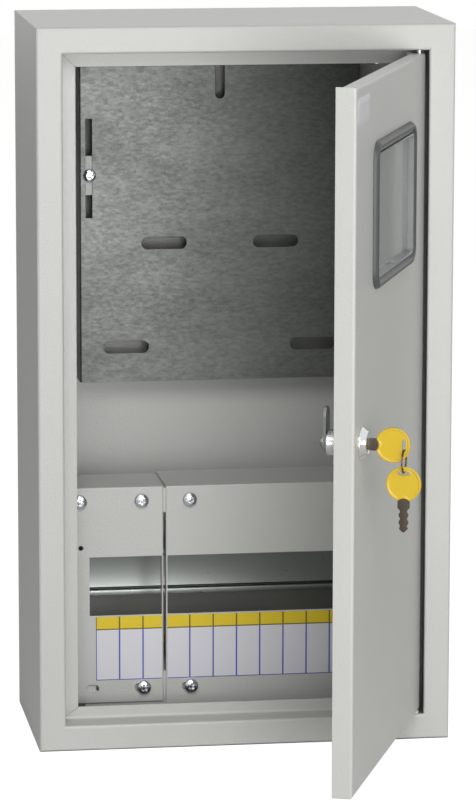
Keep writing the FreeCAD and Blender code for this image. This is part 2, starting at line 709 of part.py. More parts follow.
# Rear wall: a shallow pan welded into the case
rear = new_body("RearWall")
rear_half_width = inside_half_width - weld_gap
rear_half_height = inside_half_height - weld_gap
pan = Drawing(rear, "RearOutline", "XZ_Plane")
pan.rectangle(-rear_half_width, rear_half_width, -rear_half_height, rear_half_height)
pad(rear, pan, case_sheet, "RearPlate")
edge_ring = Drawing(rear, "RearEdges", "XZ_Plane", case_sheet)
edge_ring.rectangle(-rear_half_width, rear_half_width, -rear_half_height, rear_half_height)
rear_inner_width = rear_half_width - case_sheet
rear_inner_height = rear_half_height - case_sheet
edge_ring.rectangle(-rear_inner_width, rear_inner_width, -rear_inner_height, rear_inner_height)
pad(rear, edge_ring, rear_flange - case_sheet, "RearFlanges")
wall_hole_out = half_width - wall_hole_inset
wall_hole_up = half_height - wall_hole_end
wall_holes = Drawing(rear, "WallHoles", "XZ_Plane", case_sheet)
for side in (-1, 1):
    for level in (-1, 1):
        wall_holes.circle(wall_hole_out * side, wall_hole_up * level, wall_hole_radius)
pocket(rear, wall_holes, case_sheet, "WallHolePocket")
keep(rear, "rear_wall")

# Door: a folded pan with cut-outs for the window and the lock
door = new_body("Door")
on_door(door, ZERO, ZERO, ZERO)
door_outline = Drawing(door, "DoorOutline", "XZ_Plane", -door_flange - door_face)
door_outline.rectangle(door_left, door_right, -door_half, door_half)
pad(door, door_outline, door_flange, "DoorBlock")


def is_door_fold(edge):
    centre = edge.CenterOfMass
    at_side = near(centre.x, door_left) or near(centre.x, door_right)
    at_end = near(abs(centre.z), door_half)
    in_front = near(centre.y, door_face)
    return in_front and (at_side or at_end)


round_edges(door, bend_radius, "DoorFolds", is_door_fold)
door_inside = Drawing(door, "DoorInside", "XZ_Plane", -door_flange - door_face)
inside_left = door_left + door_sheet
inside_right = door_right - door_sheet
inside_end = door_half - door_sheet
door_inside.rectangle(inside_left, inside_right, -inside_end, inside_end)
pocket(door, door_inside, door_flange - door_sheet, "DoorPan", forward=True)
end_trim = Drawing(door, "EndFlangeTrim", "XZ_Plane", -door_flange - door_face)
for level in (-1, 1):
    end_trim.rectangle(inside_left, inside_right, inside_end * level, door_half * level)
pocket(door, end_trim, door_flange - door_end_flange, "EndFlangeStep", forward=True)
window_out = door_right - window_from_hinge
window_rise = half_height - window_drop
aperture_half_width = window_width / 2 - seal_grip
aperture_half_height = window_height / 2 - seal_grip
aperture = Drawing(door, "WindowAperture", "XZ_Plane", -door_face)
aperture.rounded(
    window_out - aperture_half_width,
    window_out + aperture_half_width,
    window_rise - aperture_half_height,
    window_rise + aperture_half_height,
    window_corner - seal_grip,
)
pocket(door, aperture, door_sheet, "WindowCut")
lock_out = door_left + lock_inset
lock_cut = Drawing(door, "LockAperture", "XZ_Plane", -door_face)
lock_cut.circle(lock_out, lock_rise, lock_thread_radius + lock_hole_gap)
pocket(door, lock_cut, door_sheet, "LockCut")
upper_pin_cut = Drawing(door, "UpperPinHole", "XY_Plane", door_half)
upper_pin_cut.circle(ZERO, ZERO, pin_radius + pin_clearance)
pocket(door, upper_pin_cut, door_sheet, "UpperPinCut")
lower_pin_cut = Drawing(door, "LowerPinOutline", "XY_Plane", -door_half)
lower_pin_cut.circle(ZERO, ZERO, pin_radius + pin_clearance)
pocket(door, lower_pin_cut, door_sheet, "LowerPinCut", forward=True)
keep(door, "door_panel")


# Hinge pins, headed inside the frame, and the washer that carries the door
def hinge_pin(name, node, level):
    body = new_body(name)
    put(body, hinge_out, hinge_front, ZERO)
    head_face = opening_half_height + case_sheet + seat_gap
    pin_end = door_half - pin_reach
    start = pin_end
    head_start = head_face
    if level < 0:
        start = -head_face
        head_start = -head_face - pin_head
    shaft = Drawing(body, name + "Outline", "XY_Plane", start)
    shaft.circle(ZERO, ZERO, pin_radius)
    pad(body, shaft, head_face - pin_end, name + "Shaft")
    head = Drawing(body, name + "Head", "XY_Plane", head_start)
    head.rod(ZERO, ZERO, pin_head_radius, more_sides)
    pad(body, head, pin_head, name + "HeadDisc")
    return keep(body, node)


hinge_pin("UpperPin", "hinge_pin_upper", 1)
hinge_pin("LowerPin", "hinge_pin_lower", -1)
washer = new_body("Washer")
put(washer, hinge_out, hinge_front, ZERO)
washer_outline = Drawing(washer, "WasherOutline", "XY_Plane", -opening_half_height + seat_gap)
washer_outline.rod(ZERO, ZERO, washer_radius, more_sides)
washer_outline.circle(ZERO, ZERO, pin_radius + pin_clearance)
pad(washer, washer_outline, door_end_gap - washer_gap - seat_gap, "WasherRing")
keep(washer, "hinge_washer")

# Window: a rubber seal with one groove for the door and one for the pane
pane_front = door_back
pane_back = pane_front + pane_sheet
seal_face = door_face - seal_front
seal_rear = pane_back + groove_gap + seal_back
seal_half_width = window_width / 2
seal_half_height = window_height / 2
sight_half_width = seal_half_width - seal_band
sight_half_height = seal_half_height - seal_band
pane_grip = seal_band - seal_grip - groove_web - groove_gap * 2
pane_half_width = sight_half_width + pane_grip
pane_half_height = sight_half_height + pane_grip


def window_loop(drawing, half_across, half_up):
    """A rounded loop about the window's middle, parallel to the seal's edge."""
    drawing.rounded(
        window_out - half_across,
        window_out + half_across,
        window_rise - half_up,
        window_rise + half_up,
        window_corner - seal_half_width + half_across,
    )


seal = new_body("WindowSeal")
on_door(seal, ZERO, ZERO, ZERO)
seal_outline = Drawing(seal, "SealOutline", "XZ_Plane", -seal_rear)
window_loop(seal_outline, seal_half_width, seal_half_height)
window_loop(seal_outline, sight_half_width, sight_half_height)
pad(seal, seal_outline, seal_rear - seal_face, "SealBand")


def is_seal_front(edge):
    box = edge.BoundBox
    in_front = near(box.YMin, seal_face) and near(box.YMax, seal_face)
    across = max(abs(box.XMin - window_out.value), abs(box.XMax - window_out.value))
    up = max(abs(box.ZMin - window_rise.value), abs(box.ZMax - window_rise.value))
    reach = max(across - sight_half_width.value, up - sight_half_height.value)
    return in_front and near(reach, seal_band)


chamfer_edges(seal, seal_round, "SealCrown", is_seal_front)
sheet_groove = Drawing(seal, "SheetGroove", "XZ_Plane", groove_gap - door_face)
window_loop(sheet_groove, seal_half_width + groove_reach, seal_half_height + groove_reach)
window_loop(sheet_groove, aperture_half_width - groove_gap, aperture_half_height - groove_gap)
pocket(seal, sheet_groove, door_sheet + groove_gap * 2, "SheetGrooveCut")
pane_groove = Drawing(seal, "PaneGroove", "XZ_Plane", groove_gap - pane_front)
window_loop(pane_groove, pane_half_width + groove_gap, pane_half_height + groove_gap)
window_loop(pane_groove, sight_half_width - groove_reach, sight_half_height - groove_reach)
pocket(seal, pane_groove, pane_sheet + groove_gap * 2, "PaneGrooveCut")
keep(seal, "window_seal")

# Clear pane with a standing rim and six small lugs beside the seal
pane = new_body("WindowPane")
on_door(pane, ZERO, ZERO, ZERO)
pane_outline = Drawing(pane, "PaneOutline", "XZ_Plane", -pane_back)
window_loop(pane_outline, pane_half_width, pane_half_height)
pad(pane, pane_outline, pane_sheet, "PanePlate")
rim_outline = Drawing(pane, "RimOutline", "XZ_Plane", -pane_front)
rim_out = pane_rim_gap
rim_in = pane_rim_gap + pane_rim
window_loop(rim_outline, sight_half_width - rim_out, sight_half_height - rim_out)
window_loop(rim_outline, sight_half_width - rim_in, sight_half_height - rim_in)
pad(pane, rim_outline, pane_rim_height, "PaneRim")
lugs = Drawing(pane, "LugOutline", "XZ_Plane", -pane_front)
lug_half = lug_length / 2
lug_edge = sight_half_width - rim_in + pane_rim / 2
lug_stop = sight_half_width - rim_in - lug_reach
for side in (-1, 1):
    for level in (-1, 1):
        middle = window_rise + lug_rise * level
        edges = sorted([window_out + lug_edge * side, window_out + lug_stop * side], key=lambda e: e.value)
        lugs.rectangle(edges[0], edges[1], middle - lug_half, middle + lug_half)
lug_top = sight_half_height - rim_in + pane_rim / 2
lug_low = sight_half_height - rim_in - lug_reach
for level in (-1, 1):
    ends = sorted([window_rise + lug_top * level, window_rise + lug_low * level], key=lambda e: e.value)
    lugs.rectangle(window_out - lug_half, window_out + lug_half, ends[0], ends[1])
pad(pane, lugs, pane_rim_height, "PaneLugs")
keep(pane, "window_pane")


# Lock. Its frame has the lock's axis as Y and the door's face as Y = 0.
def on_lock(thing, out=ZERO, up=ZERO):
    on_door(thing, lock_out, door_face + out, lock_rise + up)


cam_front = rebate_depth + case_sheet + cam_lip_gap
cam_back = cam_front + cam_sheet
bezel_front = -bezel_height
housing = new_body("LockHousing")
on_lock(housing)
housing_end = cam_front - housing_end_gap
barrel_bore = barrel_radius + barrel_clearance
bezel = Drawing(housing, "BezelOutline", "XZ_Plane", seat_gap)
bezel.rod(ZERO, ZERO, bezel_radius, many_sides)
pad(housing, bezel, bezel_height - seat_gap, "BezelDisc")


def is_bezel_front(edge):
    return near(edge.BoundBox.YMin, bezel_front) and near(edge.BoundBox.YMax, bezel_front)


bezel_slope = chamfer_edges(housing, bezel_radius - bezel_face_radius, "BezelSlope", is_bezel_front)
bezel_slope.ChamferType = "Two distances"
bind(bezel_slope, "Size2", bezel_height - bezel_rim - seat_gap)
thread = Drawing(housing, "ThreadOutline", "XZ_Plane", -housing_end)
thread.rod(ZERO, ZERO, lock_thread_radius, many_sides)
pad(housing, thread, housing_end + seat_gap, "ThreadRod")
bore = Drawing(housing, "BoreOutline", "XZ_Plane", bezel_height)
bore.hole(ZERO, ZERO, barrel_bore, many_sides)
pocket(housing, bore, bezel_height + housing_end, "BoreCut")
keep(housing, "lock_housing")

nut = new_body("LockNut")
on_lock(nut)
nut_corner = nut_half / root_of(as_size(3))
nut_start = door_sheet + seat_gap
nut_outline = Drawing(nut, "NutOutline", "XZ_Plane", -nut_start - nut_height)
nut_outline.polygon([
    (-nut_corner, nut_half),
    (nut_corner, nut_half),
    (nut_corner * 2, ZERO),
    (nut_corner, -nut_half),
    (-nut_corner, -nut_half),
    (nut_corner * -2, ZERO),
])
pad(nut, nut_outline, nut_height, "NutPlate")
nut_bore = Drawing(nut, "NutBore", "XZ_Plane", -nut_start - nut_height)
nut_bore.hole(ZERO, ZERO, lock_thread_radius + nut_gap, many_sides)
pocket(nut, nut_bore, nut_height, "NutBoreCut", forward=True)
keep(nut, "lock_nut")

barrel = new_body("LockBarrel")
on_lock(barrel)
barrel_face = bezel_front + barrel_sink
barrel_end = cam_front - seat_gap
blade_tip = neck_start + lobe_pitch * 2 + barb_run + tip_run
keyway_end = blade_tip - key_out + keyway_room
cam_screw_bore = screw_radius + tapped_gap
barrel_outline = Drawing(barrel, "BarrelOutline", "XZ_Plane", -barrel_end)
barrel_outline.circle(ZERO, ZERO, barrel_radius)
pad(barrel, barrel_outline, barrel_end - barrel_face, "BarrelRod")
square_end = Drawing(barrel, "BarrelSquare", "XZ_Plane", -cam_back + seat_gap)
square_end.rectangle(-cam_square, cam_square, -cam_square, cam_square)
pad(barrel, square_end, cam_back - barrel_end, "BarrelSquareEnd")
keyway = Drawing(barrel, "Keyway", "XZ_Plane", -barrel_face)
keyway.rectangle(-keyway_width / 2, keyway_width / 2, -keyway_height / 2, keyway_height / 2)
pocket(barrel, keyway, keyway_end - barrel_face, "KeywayCut")
cam_tap = Drawing(barrel, "BarrelTap", "XZ_Plane", -cam_back)
cam_tap.hole(ZERO, ZERO, cam_screw_bore, few_sides)
pocket(barrel, cam_tap, screw_length + seat_gap, "BarrelTapCut", forward=True)
keep(barrel, "lock_barrel")

cam = new_body("LockCam")
on_lock(cam)
cam_outline = Drawing(cam, "CamOutline", "XZ_Plane", -cam_back)
cam_middle = (cam_length - cam_half) / 2
cam_outline.long_hole(ZERO, cam_middle, cam_length + cam_half, cam_half * 2, more_sides, upright=True)
cam_hole = cam_square + tapped_gap
cam_outline.rectangle(-cam_hole, cam_hole, -cam_hole, cam_hole)
pad(cam, cam_outline, cam_sheet, "CamPlate")
keep(cam, "lock_cam")


# Screws: a tapered head on a plain shank along +Y, or along -Y when facing is -1.
# Their sides are counted, because they are many and small.
def pan_screw(body, name, head_radius, head_height, facing=1):
    turned = facing < 0
    shank_offset = ZERO
    if not turned:
        shank_offset = -screw_length
    shank = Drawing(body, name + "Shank", "XZ_Plane", shank_offset)
    shank.rod(ZERO, ZERO, screw_radius, few_sides)
    pad(body, shank, screw_length, name + "Rod")
    head_offset = ZERO
    if turned:
        head_offset = -head_height
    head = Drawing(body, name + "Head", "XZ_Plane", head_offset)
    head.rod(ZERO, ZERO, head_radius, more_sides)
    pad(body, head, head_height, name + "Disc")
    rim = head_height * facing

    def is_rim(edge):
        return near(-edge.BoundBox.YMin, rim) and near(-edge.BoundBox.YMax, rim)

    chamfer_edges(body, head_crown, name + "Crown", is_rim)


cam_screw = new_body("CamScrew")
on_lock(cam_screw, cam_back + seat_gap)
pan_screw(cam_screw, "CamScrew", panel_head_radius, panel_head_height, facing=-1)
keep(cam_screw, "lock_cam_screw")


# Keys. Each lies in the YZ plane about the middle of its bow. The blade of the
# inserted key points along +Y, that of the hanging one along -Z.
def key_point(inserted, across, along):
    """A point of the key's outline, with the blade at negative along."""
    if inserted:
        return (-along, across)
    return (across, along)


def key_rectangle(drawing, inserted, left, right, low, high):
    one = key_point(inserted, left, low)
    two = key_point(inserted, right, high)
    drawing.rectangle(one[0], two[0], one[1], two[1])


def key_blade(body, name, inserted):
    half = blade_thickness / 2
    head_middle = -blade_head - blade_head_radius
    head = Drawing(body, name + "Head", "YZ_Plane", -half)
    spot = key_point(inserted, ZERO, head_middle)
    head.rod(spot[0], spot[1], blade_head_radius, many_sides)
    pad(body, head, blade_thickness, name + "HeadPad")
    trim = Drawing(body, name + "HeadTrim", "YZ_Plane", -half)
    key_rectangle(trim, inserted, shoulder_half, bow_radius, -bow_radius * 2, ZERO)
    key_rectangle(trim, inserted, -bow_radius, -shoulder_half, -bow_radius * 2, ZERO)
    pocket(body, trim, blade_thickness, name + "HeadSides", forward=True)
    foot = Drawing(body, name + "HeadFoot", "YZ_Plane", -half)
    key_rectangle(foot, inserted, -bow_radius, bow_radius, -bow_radius * 2, -shoulder_end)
    pocket(body, foot, blade_thickness, name + "HeadEnd", forward=True)
    lobe = neck_half + lobe_height
    notch = -neck_start
    side = [(lobe, -shoulder_end), (neck_half, notch)]
    for start in (notch, notch - lobe_pitch):
        side.append((lobe, start - lobe_rise))
        side.append((lobe, start - lobe_pitch + lobe_rise))
        side.append((neck_half, start - lobe_pitch))
    side.append((barb_half, notch - lobe_pitch * 2 - barb_run))
    outline = side + [(ZERO, -blade_tip)] + [(-across, along) for across, along in reversed(side)]
    blade = Drawing(body, name + "Outline", "YZ_Plane", -half)
    blade.polygon([key_point(inserted, across, along) for across, along in outline])
    pad(body, blade, blade_thickness, name + "Pad")
    tang = Drawing(body, name + "Tang", "YZ_Plane", -tang_thickness / 2)
    key_rectangle(tang, inserted, -tang_half, tang_half, -blade_head - tang_half, tang_length - blade_head)
    pad(body, tang, tang_thickness, name + "TangPad")


def key_bow(body, name, inserted):
    half = bow_thickness / 2
    disc = Drawing(body, name + "Outline", "YZ_Plane", -half)
    disc.rod(ZERO, ZERO, bow_radius, many_sides)
    pad(body, disc, bow_thickness, name + "Disc")
    holes = Drawing(body, name + "Slot", "YZ_Plane", -half)
    spot = key_point(inserted, ZERO, bow_radius - bow_slot_inset)
    holes.long_hole(spot[0], spot[1], bow_slot_length, bow_slot_width, more_sides, upright=inserted)
    pocket(body, holes, bow_thickness, name + "SlotCut", forward=True)
    holes = Drawing(body, name + "HeadRoom", "YZ_Plane", -half)
    spot = key_point(inserted, ZERO, -blade_head - blade_head_radius)
    holes.hole(spot[0], spot[1], blade_head_radius + tang_gap, many_sides)
    pocket(body, holes, bow_thickness, name + "Cuts", forward=True)
    seat = Drawing(body, name + "TangSeat", "YZ_Plane", -tang_thickness / 2 - tang_gap)
    wide = tang_half + tang_gap
    key_rectangle(seat, inserted, -wide, wide, -blade_head - tang_half, tang_length - blade_head + tang_gap)
    pocket(body, seat, tang_thickness + tang_gap * 2, name + "TangCut", forward=True)


slot_out = key_out + bow_radius - bow_slot_inset
ring_top = ring_play + ring_wire / 2 - bow_slot_length / 2
ring_middle = ring_top - ring_radius
spare_slot_top = ring_middle - ring_radius + ring_wire / 2 + ring_play
spare_middle = spare_slot_top - bow_slot_width / 2 - (bow_radius - bow_slot_inset)
for inserted, word, out, up in (
    (True, "key", -key_out, ZERO),
    (False, "spare_key", -slot_out, spare_middle),
):
    title = word.title().replace("_", "")
    blade_body = new_body(title + "Blade")
    on_lock(blade_body, out, up)
    key_blade(blade_body, title + "Blade", inserted)
    keep(blade_body, word + "_blade")
    bow_body = new_body(title + "Bow")
    on_lock(bow_body, out, up)
    key_bow(bow_body, title + "Bow", inserted)
    keep(bow_body, word + "_bow")

ring = new_body("KeyRing")
on_lock(ring, -slot_out, ring_middle)
ring_inner = ring_radius - ring_wire / 2
ring_outer = ring_radius + ring_wire / 2
ring_coil = Drawing(ring, "RingCoil", "XZ_Plane", -ring_stack / 2)
ring_coil.rod(ZERO, ZERO, ring_outer, many_sides)
pad(ring, ring_coil, ring_stack, "RingDisc")
ring_hole = Drawing(ring, "RingHole", "XZ_Plane", -ring_stack / 2)
ring_hole.rod(ZERO, ZERO, ring_inner, many_sides)
pocket(ring, ring_hole, ring_stack, "RingHoleCut", forward=True)
keep(ring, "key_ring")

# Meter panel: a folded plate with slots for the meter and its guides
panel = new_body("MeterPanel")
panel_half = half_width - panel_inset
panel_top = half_height - panel_drop
panel_bottom = panel_top - panel_height
panel_screw_out = panel_half - panel_screw_inset
bracket_rise = panel_top - bracket_drop
panel_back = panel_front - panel_sheet
panel_rear = case_sheet + panel_rear_gap
channel = Drawing(panel, "PanelProfile", "XY_Plane", panel_bottom)
channel.polygon([
    (-panel_half, -panel_rear),
    (-panel_half, -panel_front),
    (panel_half, -panel_front),
    (panel_half, -panel_rear),
    (panel_half - panel_sheet, -panel_rear),
    (panel_half - panel_sheet, -panel_back),
    (panel_sheet - panel_half, -panel_back),
    (panel_sheet - panel_half, -panel_rear),
])
pad(panel, channel, panel_height, "PanelFold")


def is_panel_fold(edge):
    centre = edge.CenterOfMass
    return near(abs(centre.x), panel_half) and near(-centre.y, panel_front) and runs_along(edge, "Z")


round_edges(panel, panel_bend, "PanelBends", is_panel_fold)
guide_half = guide_slot_width / 2
guide_top = panel_top - guide_slot_drop
guide_slot_bottom = guide_top - guide_slot_length
guide_slot_out = panel_half - guide_slot_inset
middle_slot_rise = panel_top - middle_slot_drop
lower_slot_rise = panel_top - lower_slot_drop
lower_slot_out = panel_half - lower_slot_inset
upper_slot_middle = panel_top - upper_slot_drop
hook = Drawing(panel, "HookSlot", "XZ_Plane", panel_front)
hook.slot(ZERO, upper_slot_middle, upper_slot_length, upper_slot_width, upright=True)
pocket(panel, hook, panel_sheet, "HookSlotCut")
for side, word in ((-1, "Left"), (1, "Right")):
    slots = Drawing(panel, word + "MiddleSlot", "XZ_Plane", panel_front)
    slots.slot(middle_slot_out * side, middle_slot_rise, meter_slot_length, meter_slot_width)
    pocket(panel, slots, panel_sheet, word + "MiddleSlotCut")
    slots = Drawing(panel, word + "LowerSlot", "XZ_Plane", panel_front)
    slots.slot(lower_slot_out * side, lower_slot_rise, meter_slot_length, meter_slot_width)
    pocket(panel, slots, panel_sheet, word + "LowerSlotCut")
    guide = guide_slot_out * side
    slots = Drawing(panel, word + "GuideSlot", "XZ_Plane", panel_front)
    slots.rectangle(guide - guide_half, guide + guide_half, guide_slot_bottom, guide_top)
    pocket(panel, slots, panel_sheet, word + "GuideSlotCut")
keep(panel, "meter_panel")


# Folded brackets that stand on the rear wall
def bracket(name, node, side, outer_edge, width, front, middle, height, screw_out):
    """A channel of bent sheet, open towards the middle of the case."""
    body = new_body(name)
    foot = case_sheet + seat_gap
    web = outer_edge - bracket_sheet
    inner_edge = outer_edge - width
    fold = Drawing(body, name + "Profile", "XY_Plane", middle - height / 2)
    fold.polygon([
        (outer_edge * side, -foot),
        (outer_edge * side, -front),
        (inner_edge * side, -front),
        (inner_edge * side, bracket_sheet - front),
        (web * side, bracket_sheet - front),
        (web * side, -foot - bracket_sheet),
        (inner_edge * side, -foot - bracket_sheet),
        (inner_edge * side, -foot),
    ])
    pad(body, fold, height, name + "Fold")
    drill(body, name + "Tap", [(screw_out * side, middle)], screw_radius + tapped_gap, front, bracket_sheet)
    return keep(body, node)


panel_seat = panel_back - seat_gap
bracket_edge = panel_half - panel_sheet - weld_gap
for side, word in ((-1, "left"), (1, "right")):
    bracket(
        "PanelBracket" + word.title(), "panel_bracket_" + word, side, bracket_edge,
        bracket_flange, panel_seat, bracket_rise, bracket_height, panel_screw_out,
    )

# Lines of the covers that the rails, screws, modules and labels are set out from
cover_top = cover_rise - half_height
cover_half = half_width - cover_inset
cover_bottom_left = cover_foot_left - half_height
cover_bottom_right = cover_foot_right - half_height
joint_left = cover_joint - cover_joint_gap / 2
joint_right = cover_joint + cover_joint_gap / 2
joint_flange_top = cover_top - joint_flange_drop
joint_flange_bottom = joint_flange_top - joint_flange_length
module_centre = cover_top - module_drop
module_half = cover_half - module_inset
upper_screw_rise = cover_top - upper_screw_drop
lower_screw_rise = cover_top - lower_screw_drop
lower_rail_top = cover_top - lower_rail_drop
lower_rail_half = cover_half - lower_rail_inset
upper_screw_out = cover_half - upper_screw_inset
lower_screw_left = cover_joint - lower_screw_before
lower_screw_right = cover_joint + lower_screw_after
lower_screw_last = cover_half - lower_screw_inset
empty_slot_out = empty_slot_inset - cover_half
empty_hole_out = empty_slot_out + empty_hole_shift
seal_hole_out = seal_hole_inset - cover_half
seal_hole_rise = cover_top - seal_hole_drop

# Module rail with its two stands
din_front = cover_front - din_behind
din_length = (half_width - din_inset) * 2
stand_out = half_width - stand_inset
din_back = din_front - din_depth
din_half = din_height / 2
channel_half = din_channel / 2
rail = new_body("ModuleRail")
hat = Drawing(rail, "RailProfile", "YZ_Plane", -din_length / 2)
hat.polygon([
    (-din_front, module_centre + din_half),
    (-din_front, module_centre + channel_half - din_sheet),
    (-din_back - din_sheet, module_centre + channel_half - din_sheet),
    (-din_back - din_sheet, module_centre - channel_half + din_sheet),
    (-din_front, module_centre - channel_half + din_sheet),
    (-din_front, module_centre - din_half),
    (din_sheet - din_front, module_centre - din_half),
    (din_sheet - din_front, module_centre - channel_half),
    (-din_back, module_centre - channel_half),
    (-din_back, module_centre + channel_half),
    (din_sheet - din_front, module_centre + channel_half),
    (din_sheet - din_front, module_centre + din_half),
])
pad(rail, hat, din_length, "RailHat")
rail_spots = [(-stand_out, module_centre), (stand_out, module_centre)]
drill(rail, "RailHole", rail_spots, screw_radius + rail_hole_gap, din_back + din_sheet, din_sheet)
keep(rail, "din_rail")
stand_edge = stand_out + stand_width / 2
for side, word in ((-1, "left"), (1, "right")):
    bracket(
        "RailStand" + word.title(), "rail_stand_" + word, side, stand_edge, stand_width,
        din_back - seat_gap, module_centre, stand_height, stand_out,
    )

# Rails that carry the covers
cover_back = cover_front - cover_sheet
rail_seat = cover_back - seat_gap
upper_low = cover_top - cover_sheet - rail_top_gap - upper_rail_height
upper_high = cover_top - cover_sheet - rail_top_gap
upper_rail_half = inside_half_width - weld_gap
upper_rail = new_body("UpperCoverRail")
upper_angle = Drawing(upper_rail, "UpperRailProfile", "YZ_Plane", -upper_rail_half)
upper_angle.polygon([
    (-rail_seat, upper_low),
    (bracket_sheet - rail_seat, upper_low),
    (bracket_sheet - rail_seat, upper_high - bracket_sheet),
    (upper_rail_depth - rail_seat, upper_high - bracket_sheet),
    (upper_rail_depth - rail_seat, upper_high),
    (-rail_seat, upper_high),
])
pad(upper_rail, upper_angle, upper_rail_half * 2, "UpperRailAngle")
for word, start in (("Left", -upper_rail_half), ("Right", upper_rail_half - bracket_sheet)):
    tab = Drawing(upper_rail, "UpperRailTab" + word, "YZ_Plane", start)
    tab.rectangle(-rail_seat, upper_rail_depth - rail_seat, upper_low, upper_high)
    pad(upper_rail, tab, bracket_sheet, "UpperRailEnd" + word)
upper_screws = [
    (across, upper_screw_rise)
    for across in (
        -upper_screw_out,
        cover_joint - upper_screw_left,
        cover_joint + upper_screw_right,
        upper_screw_out,
    )
]
drill(upper_rail, "UpperTap", upper_screws, screw_radius + tapped_gap, rail_seat, bracket_sheet)
keep(upper_rail, "cover_rail_upper")

lower_rail = new_body("LowerCoverRail")
lower_low = weld_gap - inside_half_height
lower_angle = Drawing(lower_rail, "LowerRailProfile", "YZ_Plane", -lower_rail_half)
lower_angle.polygon([
    (-rail_seat, lower_low),
    (lower_rail_depth - rail_seat, lower_low),
    (lower_rail_depth - rail_seat, lower_low + bracket_sheet),
    (bracket_sheet - rail_seat, lower_low + bracket_sheet),
    (bracket_sheet - rail_seat, lower_rail_top),
    (-rail_seat, lower_rail_top),
])
pad(lower_rail, lower_angle, lower_rail_half * 2, "LowerRailAngle")
lower_screws = [
    (across, lower_screw_rise) for across in (lower_screw_left, lower_screw_right, lower_screw_last)
]
lower_spots = lower_screws + [(empty_hole_out, lower_screw_rise)]
drill(lower_rail, "LowerTap", lower_spots, screw_radius + tapped_gap, rail_seat, bracket_sheet)
keep(lower_rail, "cover_rail_lower")

# Covers over the modules, each with a flange on top and one along the joint
module_low = module_centre - module_height / 2
module_high = module_centre + module_height / 2


def cover(name, node, side, joint_edge, bottom, top_flange, round_holes, slot_spots):
    body = new_body(name)
    outer_edge = cover_half * side
    left, right = sorted([outer_edge, joint_edge], key=lambda e: e.value)
    angle = Drawing(body, name + "Profile", "YZ_Plane", left)
    angle.polygon([
        (-cover_front, bottom),
        (-cover_back, bottom),
        (-cover_back, cover_top - cover_sheet),
        (top_flange - cover_front, cover_top - cover_sheet),
        (top_flange - cover_front, cover_top),
        (-cover_front, cover_top),
    ])
    pad(body, angle, right - left, name + "Angle")
    edge_start = joint_edge
    if side < 0:
        edge_start = joint_edge - cover_sheet
    joint = Drawing(body, name + "Joint", "YZ_Plane", edge_start)
    joint.polygon([
        (-cover_back, joint_flange_bottom),
        (joint_flange - cover_front, joint_flange_bottom + joint_flange_slope),
        (joint_flange - cover_front, joint_flange_top - joint_flange_slope),
        (-cover_back, joint_flange_top),
    ])
    pad(body, joint, cover_sheet, name + "JointFlange")

    def is_fold(edge):
        centre = edge.CenterOfMass
        in_front = near(-centre.y, cover_front)
        return in_front and (near(centre.z, cover_top) or near(centre.x, joint_edge))

    round_edges(body, cover_bend, name + "Folds", is_fold)
    window_start = joint_edge + cover_sheet * side
    window_end = module_half * side
    low_x, high_x = sorted([window_start, window_end], key=lambda e: e.value)
    cuts = Drawing(body, name + "Window", "XZ_Plane", cover_front)
    cuts.rectangle(low_x, high_x, module_low, module_high)
    if side < 0:
        cuts.hole(seal_hole_out, seal_hole_rise, seal_hole_radius, few_sides)
    pocket(body, cuts, cover_sheet, name + "WindowCut")
    drill(body, name + "Hole", round_holes, screw_radius + cover_hole_gap, cover_front, cover_sheet)
    for index, middle in enumerate(slot_spots):
        cuts = Drawing(body, "%sSlot%d" % (name, index + 1), "XZ_Plane", cover_front)
        cuts.long_hole(middle, lower_screw_rise, slot_length, slot_width, more_sides)
        pocket(body, cuts, cover_sheet, "%sSlotCut%d" % (name, index + 1))
    bevel = Drawing(body, name + "Bevel", "XY_Plane", cover_top)
    bevel.polygon([
        (joint_edge, top_flange - cover_front),
        (joint_edge, top_flange - cover_front - flange_bevel),
        (joint_edge + flange_bevel * side, top_flange - cover_front),
    ])
    pocket(body, bevel, cover_sheet, name + "BevelCut")
    return keep(body, node)


left_slots = [empty_slot_out, lower_screw_left - slot_shift]
right_slots = [lower_screw_right - slot_shift, lower_screw_last - slot_shift]
cover(
    "MainSwitchCover", "main_switch_cover", -1, joint_left, cover_bottom_left,
    left_top_flange, upper_screws[:2], left_slots,
)
cover(
    "BreakerCover", "breaker_cover", 1, joint_right, cover_bottom_right,
    right_top_flange, upper_screws[2:], right_slots,
)


# Fasteners that are alike share one piece: one screw and links to it
def screw_set(name, node, head_radius, head_height, spots, out):
    first = new_body(name)
    put(first, spots[0][0], -out, spots[0][1])
    pan_screw(first, name, head_radius, head_height)
    screws = [first]
    for index, (across, up) in enumerate(spots[1:]):
        copy = doc.addObject("App::Link", "%sCopy%d" % (name, index + 1))
        copy.LinkedObject = first
        put(copy, across, -out, up)
        screws.append(copy)
    together = doc.addObject("Part::Compound", name + "Set")
    together.Links = screws
    doc.recompute()
    return keep(together, node)


screw_set(
    "CoverScrew", "cover_screws", cover_head_radius, cover_head_height,
    upper_screws + lower_screws, cover_front + seat_gap,
)
screw_set(
    "PanelScrew", "panel_screws", panel_head_radius, panel_head_height,
    [(-panel_screw_out, bracket_rise), (panel_screw_out, bracket_rise)], panel_front + seat_gap,
)
screw_set(
    "RailScrew", "rail_screws", panel_head_radius, panel_head_height,
    rail_spots, din_back + din_sheet + seat_gap,
)

# Label strip, cut at the covers' joint
label_top = cover_top - label_drop
label_low = label_top - label_height
label_seat = cover_front + label_gap
for word, left, right in (
    ("left", label_left_inset - cover_half, joint_left - cover_bend - label_margin),
    ("right", joint_right + cover_bend + label_margin, cover_half - label_right_inset),
):
    strip = new_body("LabelStrip" + word.title())
    strip_outline = Drawing(strip, "LabelOutline" + word.title(), "XZ_Plane", label_seat)
    strip_outline.rectangle(left, right, label_low, label_top)
    pad(strip, strip_outline, label_sheet, "LabelSheet" + word.title())
    keep(strip, "label_strip_" + word)

